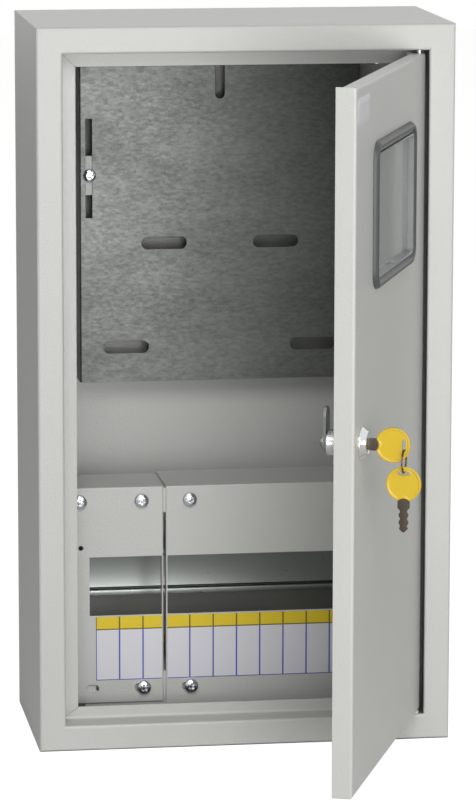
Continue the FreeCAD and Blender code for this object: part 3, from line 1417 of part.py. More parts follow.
# Terminal bars for the neutral and earth wires. Each stands on two feet and has
# a row of square wire cages with one screw above each.
bar_foot = case_sheet + seat_gap + foot_height
bar_rear = bar_foot + seat_gap
bar_face = bar_rear + bar_depth
foot_plate = case_sheet + seat_gap + foot_plate_height
bar_half = bar_length / 2
bar_rise = bar_lift - half_height
bar_low = bar_rise - bar_height / 2
bar_high = bar_rise + bar_height / 2
first_terminal = bar_pitch * (bar_terminals - 1) / 2
cage_out = bar_rear + bar_depth / 2
for word, side in (("neutral", -1), ("earth", 1)):
    title = word.title()
    middle = bar_out * side
    first_cage = middle - first_terminal
    base = new_body(title + "BarBase")
    for place, start in (("Near", middle - bar_half), ("Far", middle + bar_half - foot_width)):
        feet = Drawing(base, title + place + "Outline", "YZ_Plane", start)
        feet.polygon([
            (-case_sheet - seat_gap, bar_rise - foot_width),
            (-case_sheet - seat_gap, bar_rise + foot_width),
            (-foot_plate, bar_rise + foot_width),
            (-bar_foot, bar_high),
            (-bar_foot, bar_low),
            (-foot_plate, bar_rise - foot_width),
        ])
        pad(base, feet, foot_width, title + place + "Foot")
    keep(base, word + "_bar_base")

    bar = new_body(title + "Bar")
    bar_outline = Drawing(bar, title + "BarOutline", "XZ_Plane", bar_rear)
    bar_outline.rectangle(middle - bar_half, middle + bar_half, bar_low, bar_high)
    pad(bar, bar_outline, bar_depth, title + "BarBlock")
    cage = Drawing(bar, title + "Cage", "XY_Plane", bar_low)
    cage_left = first_cage - cage_half
    cage.rectangle(cage_left, first_cage + cage_half, -cage_out - cage_half, cage_half - cage_out)
    cage_cut = pocket(bar, cage, bar_height, title + "CageCut", forward=True)
    in_row(bar, cage_cut, bar_pitch, bar_terminals, title + "Cages")
    keep(bar, word + "_bar")

    heads = new_body(title + "BarScrews")
    head_disc = Drawing(heads, title + "ScrewHead", "XZ_Plane", bar_face + seat_gap)
    head_disc.rod(first_cage, bar_rise, bar_screw_radius, few_sides)
    disc = pad(heads, head_disc, bar_screw_height, title + "ScrewDisc")
    in_row(heads, disc, bar_pitch, bar_terminals, title + "ScrewRow")
    keep(heads, word + "_bar_screws")

# Plugs that close the cable entries in the floor, pressed in from inside
plug = new_body("EntryPlug")
put(plug, -entry_pitch, -entry_depth, ZERO)
plug_rod = Drawing(plug, "PlugOutline", "XY_Plane", seat_gap - half_height)
plug_rod.rod(ZERO, ZERO, entry_radius - seat_gap, many_sides)
pad(plug, plug_rod, case_sheet, "PlugRod")
plug_rim = Drawing(plug, "PlugRim", "XY_Plane", seat_gap - inside_half_height)
plug_rim.rod(ZERO, ZERO, entry_radius + plug_flange, many_sides)
pad(plug, plug_rim, plug_plate, "PlugFlange")
second_plug = doc.addObject("App::Link", "SecondEntryPlug")
second_plug.LinkedObject = plug
put(second_plug, entry_pitch, -entry_depth, ZERO)
plug_set = doc.addObject("Part::Compound", "EntryPlugs")
plug_set.Links = [plug, second_plug]
doc.recompute()
keep(plug_set, "entry_plugs")

# Check every feature, then write each piece
doc.recompute()
for thing in doc.Objects:
    if "Invalid" in thing.State or "Error" in thing.State:
        raise RuntimeError("%s: %s" % (thing.Name, thing.State))
os.makedirs("parts", exist_ok=True)
for node, thing in pieces:
    shape = thing.Shape
    if shape.isNull() or not shape.isValid() or shape.Volume <= 0:
        raise RuntimeError("%s has no valid solid" % node)
    shape.exportStep("parts/%s.step" % node)
    print(node, len(shape.Solids), round(shape.Volume, 1))
print(len(pieces), "pieces")
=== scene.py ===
# %% [markdown]
# # A steel meter box with its door standing open
#
# The box is bent from thin steel sheet, powder coated in a light grey. Its
# solids come from the CAD model, and this lesson gives them their finishes.
# It also makes again, as smooth surfaces, the pieces whose shape or finish the
# plain solids can't show: the window seal, the lock, the keys and their ring,
# the screws and the module rail.
#
# The first cell loads the CAD model as a fixed frame. Everything that follows
# is placed in that frame, in metres: +Z is up and the front looks along -Y.

# %% Load the frame
import json
import math

import bmesh
import bpy
import numpy as np
from mathutils import Matrix, Vector


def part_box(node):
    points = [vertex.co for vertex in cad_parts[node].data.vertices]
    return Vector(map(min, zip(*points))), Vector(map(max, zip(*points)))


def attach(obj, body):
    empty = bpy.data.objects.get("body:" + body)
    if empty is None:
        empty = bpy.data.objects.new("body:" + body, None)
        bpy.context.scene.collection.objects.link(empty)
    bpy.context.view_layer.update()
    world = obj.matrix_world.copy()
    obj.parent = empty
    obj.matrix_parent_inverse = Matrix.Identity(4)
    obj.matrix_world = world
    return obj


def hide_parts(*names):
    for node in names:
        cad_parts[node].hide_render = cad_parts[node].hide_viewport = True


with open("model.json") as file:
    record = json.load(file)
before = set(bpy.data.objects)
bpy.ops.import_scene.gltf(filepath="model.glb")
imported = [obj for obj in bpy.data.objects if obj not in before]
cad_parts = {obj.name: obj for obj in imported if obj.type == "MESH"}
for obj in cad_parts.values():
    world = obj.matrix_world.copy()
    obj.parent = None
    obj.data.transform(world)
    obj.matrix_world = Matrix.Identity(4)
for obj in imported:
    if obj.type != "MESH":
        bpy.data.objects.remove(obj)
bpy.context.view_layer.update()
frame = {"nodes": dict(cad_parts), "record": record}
nodes = frame["nodes"]
MM = 0.001

# %% [markdown]
# ## The camera
#
# The photograph was taken from a good three metres away, a little to the left
# of the box and a little above it, with a long lens. A long lens keeps the
# upright edges nearly parallel, which is why the box looks so calm. The place
# and the direction below were solved from the corners of the box.

# %% Camera
EYE = Vector((-0.46077, -3.21404, 0.53138))
FORWARD = Vector((0.14495, 0.97426, -0.17264)).normalized()
RIGHT = Vector((0.98916, -0.14685, 0.0018))
FOCAL_PIXELS = 4236.6
PHOTO_HEIGHT = 808

right = (RIGHT - FORWARD * RIGHT.dot(FORWARD)).normalized()
up = right.cross(FORWARD)
turn = Matrix((right, up, -FORWARD)).transposed().to_4x4()
camera_data = bpy.data.cameras.new("photo_camera")
camera_data.sensor_width = 36.0
camera_data.lens = FOCAL_PIXELS * camera_data.sensor_width / PHOTO_HEIGHT
camera_data.clip_start = 0.05
camera_data.clip_end = 60
camera = bpy.data.objects.new("photo_camera", camera_data)
camera.matrix_world = Matrix.Translation(EYE) @ turn
bpy.context.collection.objects.link(camera)
bpy.context.scene.camera = camera
print("lens in mm:", round(camera_data.lens, 1))

# %% [markdown]
# ## Helpers for materials
#
# Colours are written as sRGB hex values, the way a colour picker shows them,
# and turned to the linear values that the shader works with. A material is a
# small network of nodes, and one function adds a node with its settings and
# its links. An input is given by its name, or by its number where two inputs
# have one name.

# %% Material helpers


def colour(code, alpha=1.0):
    """sRGB hex to linear: v / 12.92 below 0.04045, else ((v + 0.055) / 1.055) ** 2.4."""
    values = [int(code[i:i + 2], 16) / 255 for i in (1, 3, 5)]
    linear = [v / 12.92 if v <= 0.04045 else ((v + 0.055) / 1.055) ** 2.4 for v in values]
    return (*linear, alpha)


def add(tree, kind, settings=None, links=None):
    """Add one node. Settings are its properties or unlinked inputs, links its sockets."""
    node = tree.nodes.new(kind)
    for name, value in (settings or {}).items():
        if isinstance(name, str) and name not in node.inputs:
            setattr(node, name, value)
        else:
            node.inputs[name].default_value = value
    for name, source in (links or {}).items():
        tree.links.new(source, node.inputs[name])
    return node


def new_material(name):
    """A material with an empty tree, and its output node."""
    material = bpy.data.materials.new(name)
    material.use_nodes = True
    tree = material.node_tree
    tree.nodes.clear()
    return material, tree, tree.nodes.new("ShaderNodeOutputMaterial")


# %% [markdown]
# ## Powder coat
#
# The sheet is powder coated: a dry polyester powder is sprayed on and melted
# in an oven. It flows into a skin with a fine orange peel, so its gloss breaks
# up into tiny sparkles along the folds. A noise of about two millimetres in
# the bump gives the peel, and a slower one keeps large faces from looking
# flat. The bevel node rounds the light on every cut edge by half a millimetre,
# as the melted skin does. In the photograph the narrow gaps and the rear wall
# behind the upright slots are nearly black, darker than plain light makes
# them. An occlusion node darkens the paint colour there as painted shade,
# matched to the photograph. The wall behind the level slots gets darker with
# it, though the photograph shows it lit.

# %% Powder coat


def powder_coat(name, base, peel, rough, tint=0.02, edge_mm=0.5):
    """Polyester powder coat: slow tint, shade in gaps, rounded edges and a peel about 2 mm wide."""
    material, tree, output = new_material(name)
    place = add(tree, "ShaderNodeTexCoord").outputs["Object"]
    fine = add(
        tree, "ShaderNodeTexNoise", {"Scale": 1 / (1.7 * MM), "Detail": 2.0, "Roughness": 0.6},
        {"Vector": place},
    )
    slow = add(tree, "ShaderNodeTexNoise", {"Scale": 1 / (60 * MM), "Detail": 2.0}, {"Vector": place})
    low = (*[c * (1 - tint) for c in colour(base)[:3]], 1)
    high = (*[min(1.0, c * (1 + tint)) for c in colour(base)[:3]], 1)
    shade = add(
        tree, "ShaderNodeMix", {"data_type": "RGBA", 6: low, 7: high},
        {0: slow.outputs["Fac"]},
    )
    # Painted shade: the occlusion value darkens the paint colour in narrow gaps and recesses.
    gap = add(tree, "ShaderNodeAmbientOcclusion", {"samples": 8, "Distance": 60 * MM})
    depth = add(
        tree, "ShaderNodeMapRange",
        {"From Min": 0.08, "From Max": 0.36, "To Min": 0.08, "To Max": 1.0},
        {"Value": gap.outputs["AO"]},
    )
    shaded = add(
        tree, "ShaderNodeMix", {"data_type": "RGBA", "blend_type": "MULTIPLY", 0: 1.0},
        {6: shade.outputs[2], 7: depth.outputs[0]},
    )
    edge = add(tree, "ShaderNodeBevel", {"samples": 4, "Radius": edge_mm * MM})
    bump = add(
        tree, "ShaderNodeBump", {"Strength": peel, "Distance": 1.2 * MM},
        {"Height": fine.outputs["Fac"], "Normal": edge.outputs["Normal"]},
    )
    shader = add(
        tree, "ShaderNodeBsdfPrincipled", {"Roughness": rough, "IOR": 1.5},
        {"Base Color": shaded.outputs[2], "Normal": bump.outputs["Normal"]},
    )
    tree.links.new(shader.outputs["BSDF"], output.inputs["Surface"])
    return material


enclosure_paint = powder_coat("powder_coat_light_grey", "#C8C9C5", peel=0.2, rough=0.33)
print("materials so far:", len(bpy.data.materials))

# %% [markdown]
# ## Metals
#
# The meter panel is hot-dip galvanised sheet that was rolled, so its grey is
# finely mottled, with faint streaks across. The mottle is drawn a little
# coarser than the real one, so that it shows. Small bought pieces are zinc
# plated or chromed. A metal takes its colour from what it mirrors, so here the
# base colour is its reflectance.

# %% Galvanised sheet and plated metals


def galvanised(name, dark, light):
    """Rolled zinc: a mottle 2 mm high over a slow cloud of 34 mm, both twice as wide as high."""
    material, tree, output = new_material(name)
    place = add(tree, "ShaderNodeTexCoord").outputs["Object"]
    wide = add(tree, "ShaderNodeMapping", {"Scale": (0.45, 1.0, 1.0)}, {"Vector": place})
    grain = add(
        tree, "ShaderNodeTexNoise", {"Scale": 1 / (2.0 * MM), "Detail": 4.0, "Roughness": 0.7},
        {"Vector": wide.outputs["Vector"]},
    )
    cloud = add(
        tree, "ShaderNodeTexNoise", {"Scale": 1 / (34 * MM), "Detail": 3.0},
        {"Vector": wide.outputs["Vector"]},
    )
    spread = add(
        tree, "ShaderNodeMath", {"operation": "MULTIPLY_ADD", 1: 0.45},
        {0: cloud.outputs["Fac"], 2: grain.outputs["Fac"]},
    )
    fac = add(
        tree, "ShaderNodeMapRange", {"From Min": 0.37, "From Max": 1.09},
        {"Value": spread.outputs[0]},
    )
    shade = add(
        tree, "ShaderNodeMix", {"data_type": "RGBA", 6: colour(dark), 7: colour(light)},
        {0: fac.outputs[0]},
    )
    rough = add(
        tree, "ShaderNodeMapRange", {"To Min": 0.5, "To Max": 0.36}, {"Value": fac.outputs[0]}
    )
    edge = add(tree, "ShaderNodeBevel", {"samples": 4, "Radius": 0.4 * MM})
    bump = add(
        tree, "ShaderNodeBump", {"Strength": 0.08, "Distance": 0.5 * MM},
        {"Height": spread.outputs[0], "Normal": edge.outputs["Normal"]},
    )
    shader = add(
        tree, "ShaderNodeBsdfPrincipled", {"Metallic": 0.85},
        {
            "Base Color": shade.outputs[2], "Roughness": rough.outputs[0],
            "Normal": bump.outputs["Normal"],
        },
    )
    tree.links.new(shader.outputs["BSDF"], output.inputs["Surface"])
    return material


def plated(name, base, rough, grain_mm=0.8, grain=0.02):
    """A plated metal: its reflectance, its roughness and a faint grain."""
    material, tree, output = new_material(name)
    place = add(tree, "ShaderNodeTexCoord").outputs["Object"]
    noise = add(
        tree, "ShaderNodeTexNoise", {"Scale": 1 / (grain_mm * MM), "Detail": 2.0}, {"Vector": place}
    )
    bump = add(
        tree, "ShaderNodeBump", {"Strength": grain, "Distance": 0.2 * MM},
        {"Height": noise.outputs["Fac"]},
    )
    spread = add(
        tree, "ShaderNodeMapRange", {"To Min": rough * 0.8, "To Max": rough * 1.2},
        {"Value": noise.outputs["Fac"]},
    )
    shader = add(
        tree, "ShaderNodeBsdfPrincipled", {"Metallic": 1.0, "Base Color": colour(base)},
        {"Roughness": spread.outputs[0], "Normal": bump.outputs["Normal"]},
    )
    tree.links.new(shader.outputs["BSDF"], output.inputs["Surface"])
    return material


galvanised_sheet = galvanised("hot_dip_zinc", "#525451", "#7F8280")
bright_zinc = plated("bright_zinc_plate", "#C9CDD2", 0.16)
rail_zinc = plated("passivated_zinc_rail", "#868A88", 0.3, grain_mm=3.0, grain=0.05)
lock_chrome = plated("chrome_plate", "#DCDDDE", 0.06, grain=0.0)
key_nickel = plated("tarnished_nickel", "#5C544C", 0.34, grain_mm=1.2, grain=0.25)
ring_steel = plated("dark_spring_steel", "#6A5B50", 0.2)
terminal_brass = plated("brass_bar", "#D8B35A", 0.28)

# %% [markdown]
# ## Plastics, rubber, film and the clear pane
#
# The bows of the keys are moulded round the blades in a tough, glossy plastic
# such as ABS. The window seal is extruded rubber, dark grey and a little
# shiny. The pane is clear moulded plastic, so most light goes through it and
# some is mirrored. It looks paler than that in the photograph, so a share of
# its surface scatters light like a haze.

# %% Plastics, rubber and the pane


def moulded(name, base, rough, peel=0.02, grain_mm=1.5):
    """A moulded or extruded plastic or rubber, with its faint skin."""
    material, tree, output = new_material(name)
    place = add(tree, "ShaderNodeTexCoord").outputs["Object"]
    noise = add(
        tree, "ShaderNodeTexNoise", {"Scale": 1 / (grain_mm * MM), "Detail": 3.0}, {"Vector": place}
    )
    low = (*[c * 0.96 for c in colour(base)[:3]], 1)
    high = (*[min(1.0, c * 1.03) for c in colour(base)[:3]], 1)
    shade = add(
        tree, "ShaderNodeMix", {"data_type": "RGBA", 6: low, 7: high}, {0: noise.outputs["Fac"]}
    )
    bump = add(
        tree, "ShaderNodeBump", {"Strength": peel, "Distance": 0.5 * MM},
        {"Height": noise.outputs["Fac"]},
    )
    shader = add(
        tree, "ShaderNodeBsdfPrincipled", {"Roughness": rough, "IOR": 1.5},
        {"Base Color": shade.outputs[2], "Normal": bump.outputs["Normal"]},
    )
    tree.links.new(shader.outputs["BSDF"], output.inputs["Surface"])
    return material


def clear_plastic(name, tint, haze_share):
    """Clear acrylic: mirrored at a grazing view by Fresnel, else let through, under a haze."""
    material, tree, output = new_material(name)
    through = add(tree, "ShaderNodeBsdfTransparent", {"Color": colour(tint)})
    gloss = add(tree, "ShaderNodeBsdfGlossy", {"Roughness": 0.12, "Color": colour("#FFFFFF")})
    edge = add(tree, "ShaderNodeFresnel", {"IOR": 1.49})
    clear = add(
        tree, "ShaderNodeMixShader",
        links={0: edge.outputs[0], 1: through.outputs[0], 2: gloss.outputs[0]},
    )
    haze = add(tree, "ShaderNodeBsdfDiffuse", {"Color": colour("#D8DAD9")})
    both = add(
        tree, "ShaderNodeMixShader", {0: haze_share}, {1: clear.outputs[0], 2: haze.outputs[0]}
    )
    tree.links.new(both.outputs[0], output.inputs["Surface"])
    return material


bow_plastic = moulded("moulded_yellow_abs", "#D6B526", 0.3)
seal_rubber = moulded("extruded_grey_rubber", "#4A4C4C", 0.4)
washer_nylon = moulded("natural_nylon", "#E6E6DF", 0.45)
terminal_plastic = moulded("blue_insulating_plastic", "#4A6FA5", 0.4)
plug_rubber = moulded("grey_plug_rubber", "#6A6C6C", 0.55)
sticker_film = moulded("bare_sticker_film", "#D4D4D8", 0.42)
clear_pane = clear_plastic("clear_acrylic", "#E0E3E3", haze_share=0.28)

# %% [markdown]
# ## The printed label
#
# A strip of white film runs under the module windows. It is printed with one
# field for each module, 17.9 mm wide, with blue lines round it and a yellow
# band on top. The print is worked out from the place on the strip alone: the
# remainder of x over 17.9 mm says how far the nearest line is.

# %% Label print
FIELD = 17.9 * MM
LINE = 0.55 * MM
BAND_LINE = 0.45 * MM
BAND_HEIGHT = 9.6 * MM
strip_low, strip_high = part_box("label_strip_left")
strip_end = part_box("label_strip_right")[1].x
yellow_from = strip_high.z - BAND_HEIGHT


def label_print(name):
    """White film with blue lines at each field, and a yellow band with brown lines on top."""
    material, tree, output = new_material(name)
    place = add(tree, "ShaderNodeTexCoord").outputs["Object"]
    axis = add(tree, "ShaderNodeSeparateXYZ", links={0: place}).outputs
    from_start = add(
        tree, "ShaderNodeMath", {"operation": "SUBTRACT", 1: strip_low.x}, {0: axis["X"]}
    )
    nearest = add(
        tree, "ShaderNodeMath", {"operation": "PINGPONG", 1: FIELD / 2}, {0: from_start.outputs[0]}
    )
    upright = add(
        tree, "ShaderNodeMath", {"operation": "LESS_THAN", 1: LINE}, {0: nearest.outputs[0]}
    )
    low_line = add(
        tree, "ShaderNodeMath", {"operation": "LESS_THAN", 1: strip_low.z + LINE}, {0: axis["Z"]}
    )
    any_line = add(
        tree, "ShaderNodeMath", {"operation": "MAXIMUM"},
        {0: upright.outputs[0], 1: low_line.outputs[0]},
    )
    in_band = add(
        tree, "ShaderNodeMath", {"operation": "GREATER_THAN", 1: yellow_from}, {0: axis["Z"]}
    )
    off_band = add(
        tree, "ShaderNodeMath", {"operation": "SUBTRACT", 1: yellow_from}, {0: axis["Z"]}
    )
    far_off = add(tree, "ShaderNodeMath", {"operation": "ABSOLUTE"}, {0: off_band.outputs[0]})
    band_line = add(
        tree, "ShaderNodeMath", {"operation": "LESS_THAN", 1: BAND_LINE}, {0: far_off.outputs[0]}
    )
    field = add(
        tree, "ShaderNodeMix", {"data_type": "RGBA", 6: colour("#E0DFE6"), 7: colour("#4A55B8")},
        {0: any_line.outputs[0]},
    )
    band = add(
        tree, "ShaderNodeMix", {"data_type": "RGBA", 6: colour("#E9CC28"), 7: colour("#6C6228")},
        {0: upright.outputs[0]},
    )
    both = add(
        tree, "ShaderNodeMix", {"data_type": "RGBA"},
        {0: in_band.outputs[0], 6: field.outputs[2], 7: band.outputs[2]},
    )
    shade = add(
        tree, "ShaderNodeMix", {"data_type": "RGBA", 7: colour("#6C6228")},
        {0: band_line.outputs[0], 6: both.outputs[2]},
    )
    shader = add(
        tree, "ShaderNodeBsdfPrincipled", {"Roughness": 0.5, "IOR": 1.45},
        {"Base Color": shade.outputs[2]},
    )
    tree.links.new(shader.outputs["BSDF"], output.inputs["Surface"])
    return material


label_film = label_print("printed_label_film")
print("label fields:", round((strip_end - strip_low.x) / FIELD, 1))

# %% [markdown]
# ## Which piece has which finish
#
# The record gives each piece a material slot, and the table turns the slot into
# a finish. The rail, the ring and the pieces behind the lock are duller than
# the rest of their slots. Folds are shaded smooth and edges over 32 degrees
# stay sharp.

# %% Give the finishes
SHARP_DEGREES = 32
FINISHES = {
    "enclosure_paint": enclosure_paint,
    "galvanised_sheet": galvanised_sheet,
    "bright_zinc": bright_zinc,
    "lock_chrome": lock_chrome,
    "key_metal": key_nickel,
    "key_bow_yellow": bow_plastic,
    "seal_rubber": seal_rubber,
    "clear_pane": clear_pane,
    "nylon": washer_nylon,
    "label_white": label_film,
    "terminal_brass": terminal_brass,
    "terminal_screw_zinc": bright_zinc,
    "terminal_base": terminal_plastic,
    "plug_rubber": plug_rubber,
}
for part in frame["record"]["subparts"]:
    node = nodes[part["node"]]
    node.data.materials.clear()
    node.data.materials.append(FINISHES[part["material_slot"]])
for node in nodes.values():
    node.data.shade_smooth()
    node.data.set_sharp_from_angle(angle=math.radians(SHARP_DEGREES))
nodes["din_rail"].data.materials[0] = rail_zinc
nodes["key_ring"].data.materials[0] = ring_steel
for name in ("lock_cam", "lock_nut", "lock_cam_screw"):
    nodes[name].data.materials[0] = rail_zinc

# %% [markdown]
# ## Surfaces from grids of points
#
# Every new piece is a grid of points, worked out by one formula for the whole
# grid at once. Each cell of the grid becomes a quad. The columns come back to
# their start, so the last cell joins the first. The rows do so too on the
# seal, the lock and the bows. On the other pieces each end gets a flat cap.

# %% Grids to meshes


def piece(name, points, finish, body, stands_for=(), along=False, sharp=38):
    """A closed mesh from rows x columns x 3 points in metres.

    The columns close on themselves, and the rows do when along is set. Rows
    that stay open get a cap at each end."""
    rows, columns = points.shape[:2]
    i = np.arange(rows if along else rows - 1)[:, None]
    j = np.arange(columns)[None, :]
    next_i = (i + 1) % rows
    next_j = (j + 1) % columns
    corners = [i * columns + j, i * columns + next_j, next_i * columns + next_j, next_i * columns + j]
    faces = np.stack(np.broadcast_arrays(*corners), -1).reshape(-1, 4).tolist()
    if not along:
        faces.append(list(range(columns))[::-1])
        faces.append(list(range((rows - 1) * columns, rows * columns)))
    mesh = bpy.data.meshes.new(name)
    mesh.from_pydata(points.reshape(-1, 3), [], faces)
    work = bmesh.new()
    work.from_mesh(mesh)
    bmesh.ops.remove_doubles(work, verts=work.verts, dist=1e-7)
    bmesh.ops.recalc_face_normals(work, faces=work.faces)
    work.to_mesh(mesh)
    work.free()
    mesh.shade_smooth()
    mesh.set_sharp_from_angle(angle=math.radians(sharp))
    mesh.materials.append(finish)
    thing = bpy.data.objects.new(name, mesh)
    bpy.context.collection.objects.link(thing)
    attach(thing, body)
    if stands_for:
        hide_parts(*stands_for)
    print(name, "faces:", len(mesh.polygons))
    return thing


# %% [markdown]
# ## The door's own frame
#
# The door stands open at 69 degrees. What sits on it is drawn in the door's
# own frame, where the hinge axis is the origin, the closed door lies along -X
# and its face looks along -Y. One function turns such points into the frame
# of the case: x' = x cos a - y sin a and y' = x sin a + y cos a.

# %% The door's frame
HINGE = (128.5, -155.9)
DOOR_ANGLE = math.radians(69)
DOOR_FACE = -4.1
LOCK = (-237.2, DOOR_FACE, -1.0)


def from_door(x, y, z):
    """Points in the door's frame, in mm, as points of the case's frame, in metres."""
    x, y, z = np.broadcast_arrays(x, y, z)
    cos, sin = math.cos(DOOR_ANGLE), math.sin(DOOR_ANGLE)
    return np.stack([HINGE[0] + x * cos - y * sin, HINGE[1] + x * sin + y * cos, z], -1) * MM


def lathe(profile, columns):
    """Turn (radius, out) points about the lock's axis: x = r cos t and z = r sin t."""
    radius, out = np.array(profile, float).T
    t = np.linspace(0, 2 * math.pi, columns, endpoint=False)[None, :]
    x = LOCK[0] + radius[:, None] * np.cos(t)
    z = LOCK[2] + radius[:, None] * np.sin(t)
    return from_door(x, LOCK[1] + out[:, None], z)


# %% [markdown]
# ## The window seal
#
# The seal is a rubber strip with an H-shaped section, pushed over the edge of
# the cut-out in the door, so that one groove holds the sheet and the other
# holds the pane. Its front is a round ridge with a shallow channel inside it.
# The strip is bent round four corners: each point of the section is carried
# along a rounded rectangle that grows with the point's distance from the
# sight edge.

# %% Window seal
WINDOW = (-124.2, 152.0)
SIGHT_HALF = (68.0, 44.0)
SIGHT_CORNER = 5.0
seal_section = np.array([
    (0.0, -5.2), (0.15, -5.9), (0.6, -6.3), (1.3, -6.2), (1.9, -5.9), (2.3, -6.2), (2.7, -7.0),
    (3.3, -7.7), (4.1, -8.05), (5.0, -8.1), (5.9, -7.9), (6.8, -7.2), (7.5, -6.2), (7.9, -5.0),
    (8.0, -4.3), (7.7, -4.2), (3.9, -4.2), (3.9, -2.8), (7.2, -2.8), (7.6, -2.4), (7.5, 1.2),
    (6.6, 2.3), (5.2, 2.6), (1.0, 2.6), (0.2, 2.2), (0.0, 1.4), (0.0, -0.8), (3.1, -0.8),
    (3.1, -3.0), (0.0, -3.0),
])


def round_path(half_x, half_z, arc_points):
    """Corner centres and outward directions along a rounded rectangle."""
    angle = np.concatenate([np.linspace(k * 90, k * 90 + 90, arc_points) for k in range(4)])
    angle = np.radians(angle)
    sign = np.repeat([(1, 1), (-1, 1), (-1, -1), (1, -1)], arc_points, axis=0)
    centre = sign * (half_x, half_z)
    return centre, np.stack([np.cos(angle), np.sin(angle)], -1)


centre, outward = round_path(SIGHT_HALF[0] - SIGHT_CORNER, SIGHT_HALF[1] - SIGHT_CORNER, 14)
reach = SIGHT_CORNER + seal_section[None, :, 0]
seal_x = WINDOW[0] + centre[:, :1] + outward[:, :1] * reach
seal_z = WINDOW[1] + centre[:, 1:] + outward[:, 1:] * reach
piece(
    "window_seal_smooth", from_door(seal_x, seal_section[None, :, 1], seal_z), seal_rubber,
    "door", ["window_seal"], along=True, sharp=50,
)

# %% [markdown]
# ## The lock
#
# The lock is die cast and chromed. It is round, so its whole shape is a
# profile carried round the lock's axis: the flat front ring, the cone that
# runs down to the door, and the fine thread for the nut behind the door. The
# thread's pitch is 1 mm, and its turns are drawn as rings.

# %% Lock
BORE = 6.26
THREAD_RADIUS = 9.5
THREAD_DEPTH = 0.3
HOUSING_END = 23.2
thread_out = np.arange(0.9, HOUSING_END, 0.25)
thread_radius = THREAD_RADIUS - THREAD_DEPTH * np.abs((thread_out % 1.0) * 2 - 1)
lock_profile = [(BORE, -4.2), (6.5, -4.75), (6.9, -5.0), (8.2, -5.0), (8.7, -4.8), (8.95, -4.4)]
lock_profile += [(9.6, -3.5), (10.4, -2.4), (11.2, -1.35), (11.6, -0.95), (11.75, -0.6), (11.7, -0.1)]
lock_profile += [(THREAD_RADIUS, -0.1), (THREAD_RADIUS, 0.7)]
lock_profile += list(zip(thread_radius, thread_out))
lock_profile += [(9.2, HOUSING_END), (BORE, HOUSING_END)]
piece(
    "lock_housing_turned", lathe(lock_profile, 96), lock_chrome, "door", ["lock_housing"],
    along=True,
)

# %% [markdown]
# ## The keys
#
# A key's bow is a disc of yellow plastic with a raised rim and a long slot for
# the ring. Seen from the middle of the slot, each direction meets the slot's
# edge first and the disc's edge last. The surface runs between those two
# edges, over the front and back again under the rear, so it closes on itself
# with the slot as its hole. The height is read from the distance to the
# nearer edge: a rounded edge, then the rim, then the lower face.

# %% Key bows
BOW_RADIUS = 12.3
SLOT_INSET = 4.6
SLOT_UP = BOW_RADIUS - SLOT_INSET
SLOT_HALF = (4.3, 1.3)
HEAD_RADIUS = 5.8
HEAD_ROOM = 5.9
HEAD_MIDDLE = -16.1
KEY_OUT = 22.3
SLOT_OUT = KEY_OUT + SLOT_UP
RING_MIDDLE = -11.2
SPARE_MIDDLE = -27.1
FULL_RUN = 4.6
FAR = 99

t = np.linspace(0, 2 * math.pi, 160, endpoint=False)
ray_x, ray_y = np.cos(t), np.sin(t)
to_circle = -SLOT_UP * ray_y + np.sqrt((SLOT_UP * ray_y) ** 2 - SLOT_UP ** 2 + BOW_RADIUS ** 2)
drop = (HEAD_MIDDLE - SLOT_UP) * ray_y
hits = drop ** 2 - (HEAD_MIDDLE - SLOT_UP) ** 2 + HEAD_ROOM ** 2
to_head = np.where((hits > 0) & (drop > 0), drop - np.sqrt(np.maximum(hits, 0)), FAR)
to_edge = np.minimum(to_circle, to_head)
end_middle = SLOT_HALF[0] - SLOT_HALF[1]
to_side = SLOT_HALF[1] / np.maximum(np.abs(ray_y), 1e-9)
round_end = np.sqrt(np.maximum(SLOT_HALF[1] ** 2 - (end_middle * ray_y) ** 2, 0))
to_end = end_middle * np.abs(ray_x) + round_end
to_slot = np.where(to_side * np.abs(ray_x) <= end_middle, to_side, to_end)

from_slot = np.array([0, 0.1, 0.3, 0.6, 0.9, 1.3])
from_edge = np.array([2.7, 2.3, 1.9, 1.5, 1.1, 0.7, 0.35, 0.12, 0])
length = (to_edge - to_slot)[:, None]
scale = np.minimum(1, length / FULL_RUN)
inner = from_slot * scale
outer = length - from_edge * scale
middle_share = np.array([0.25, 0.5, 0.75])
middle = inner[:, -1:] + (outer[:, :1] - inner[:, -1:]) * middle_share
run = np.concatenate([inner, middle, outer], 1)
slot_height = np.interp(run, [*from_slot, FAR], [1.0, 1.2, 1.3, 1.3, 1.2, 1.1, 1.1])
edge_distance = length - run
from_edge_up = from_edge[:0:-1]
edge_height = np.interp(
    edge_distance, [*from_edge_up, FAR],
    [0.8, 1.15, 1.45, 1.6, 1.6, 1.5, 1.3, 1.12, 1.1],
)
height = np.maximum(slot_height, edge_height)
rounding = np.interp(edge_distance, [0, 0.12, 0.35, 0.7, FAR], [0.8, 1.15, 1.45, 9, 9])
height = np.minimum(height, rounding)
bow_across = ray_x[:, None] * (to_slot[:, None] + run)
bow_along = SLOT_UP + ray_y[:, None] * (to_slot[:, None] + run)
bow_across = np.concatenate([bow_across, bow_across[:, ::-1]], 1)
bow_along = np.concatenate([bow_along, bow_along[:, ::-1]], 1)
bow_thick = np.concatenate([height, -height[:, ::-1]], 1)


def on_key(inserted, across, along, thick):
    """A key's own points to the door's frame. The blade points along -along."""
    if inserted:
        return from_door(LOCK[0] + thick, LOCK[1] - KEY_OUT - along, LOCK[2] + across)
    return from_door(LOCK[0] + thick, LOCK[1] - SLOT_OUT + across, LOCK[2] + SPARE_MIDDLE + along)


for inserted, body, word in ((True, "barrel", "key"), (False, "spare", "spare_key")):
    piece(
        word + "_bow_moulded", on_key(inserted, bow_across, bow_along, bow_thick), bow_plastic,
        body, [word + "_bow"], along=True, sharp=60,
    )

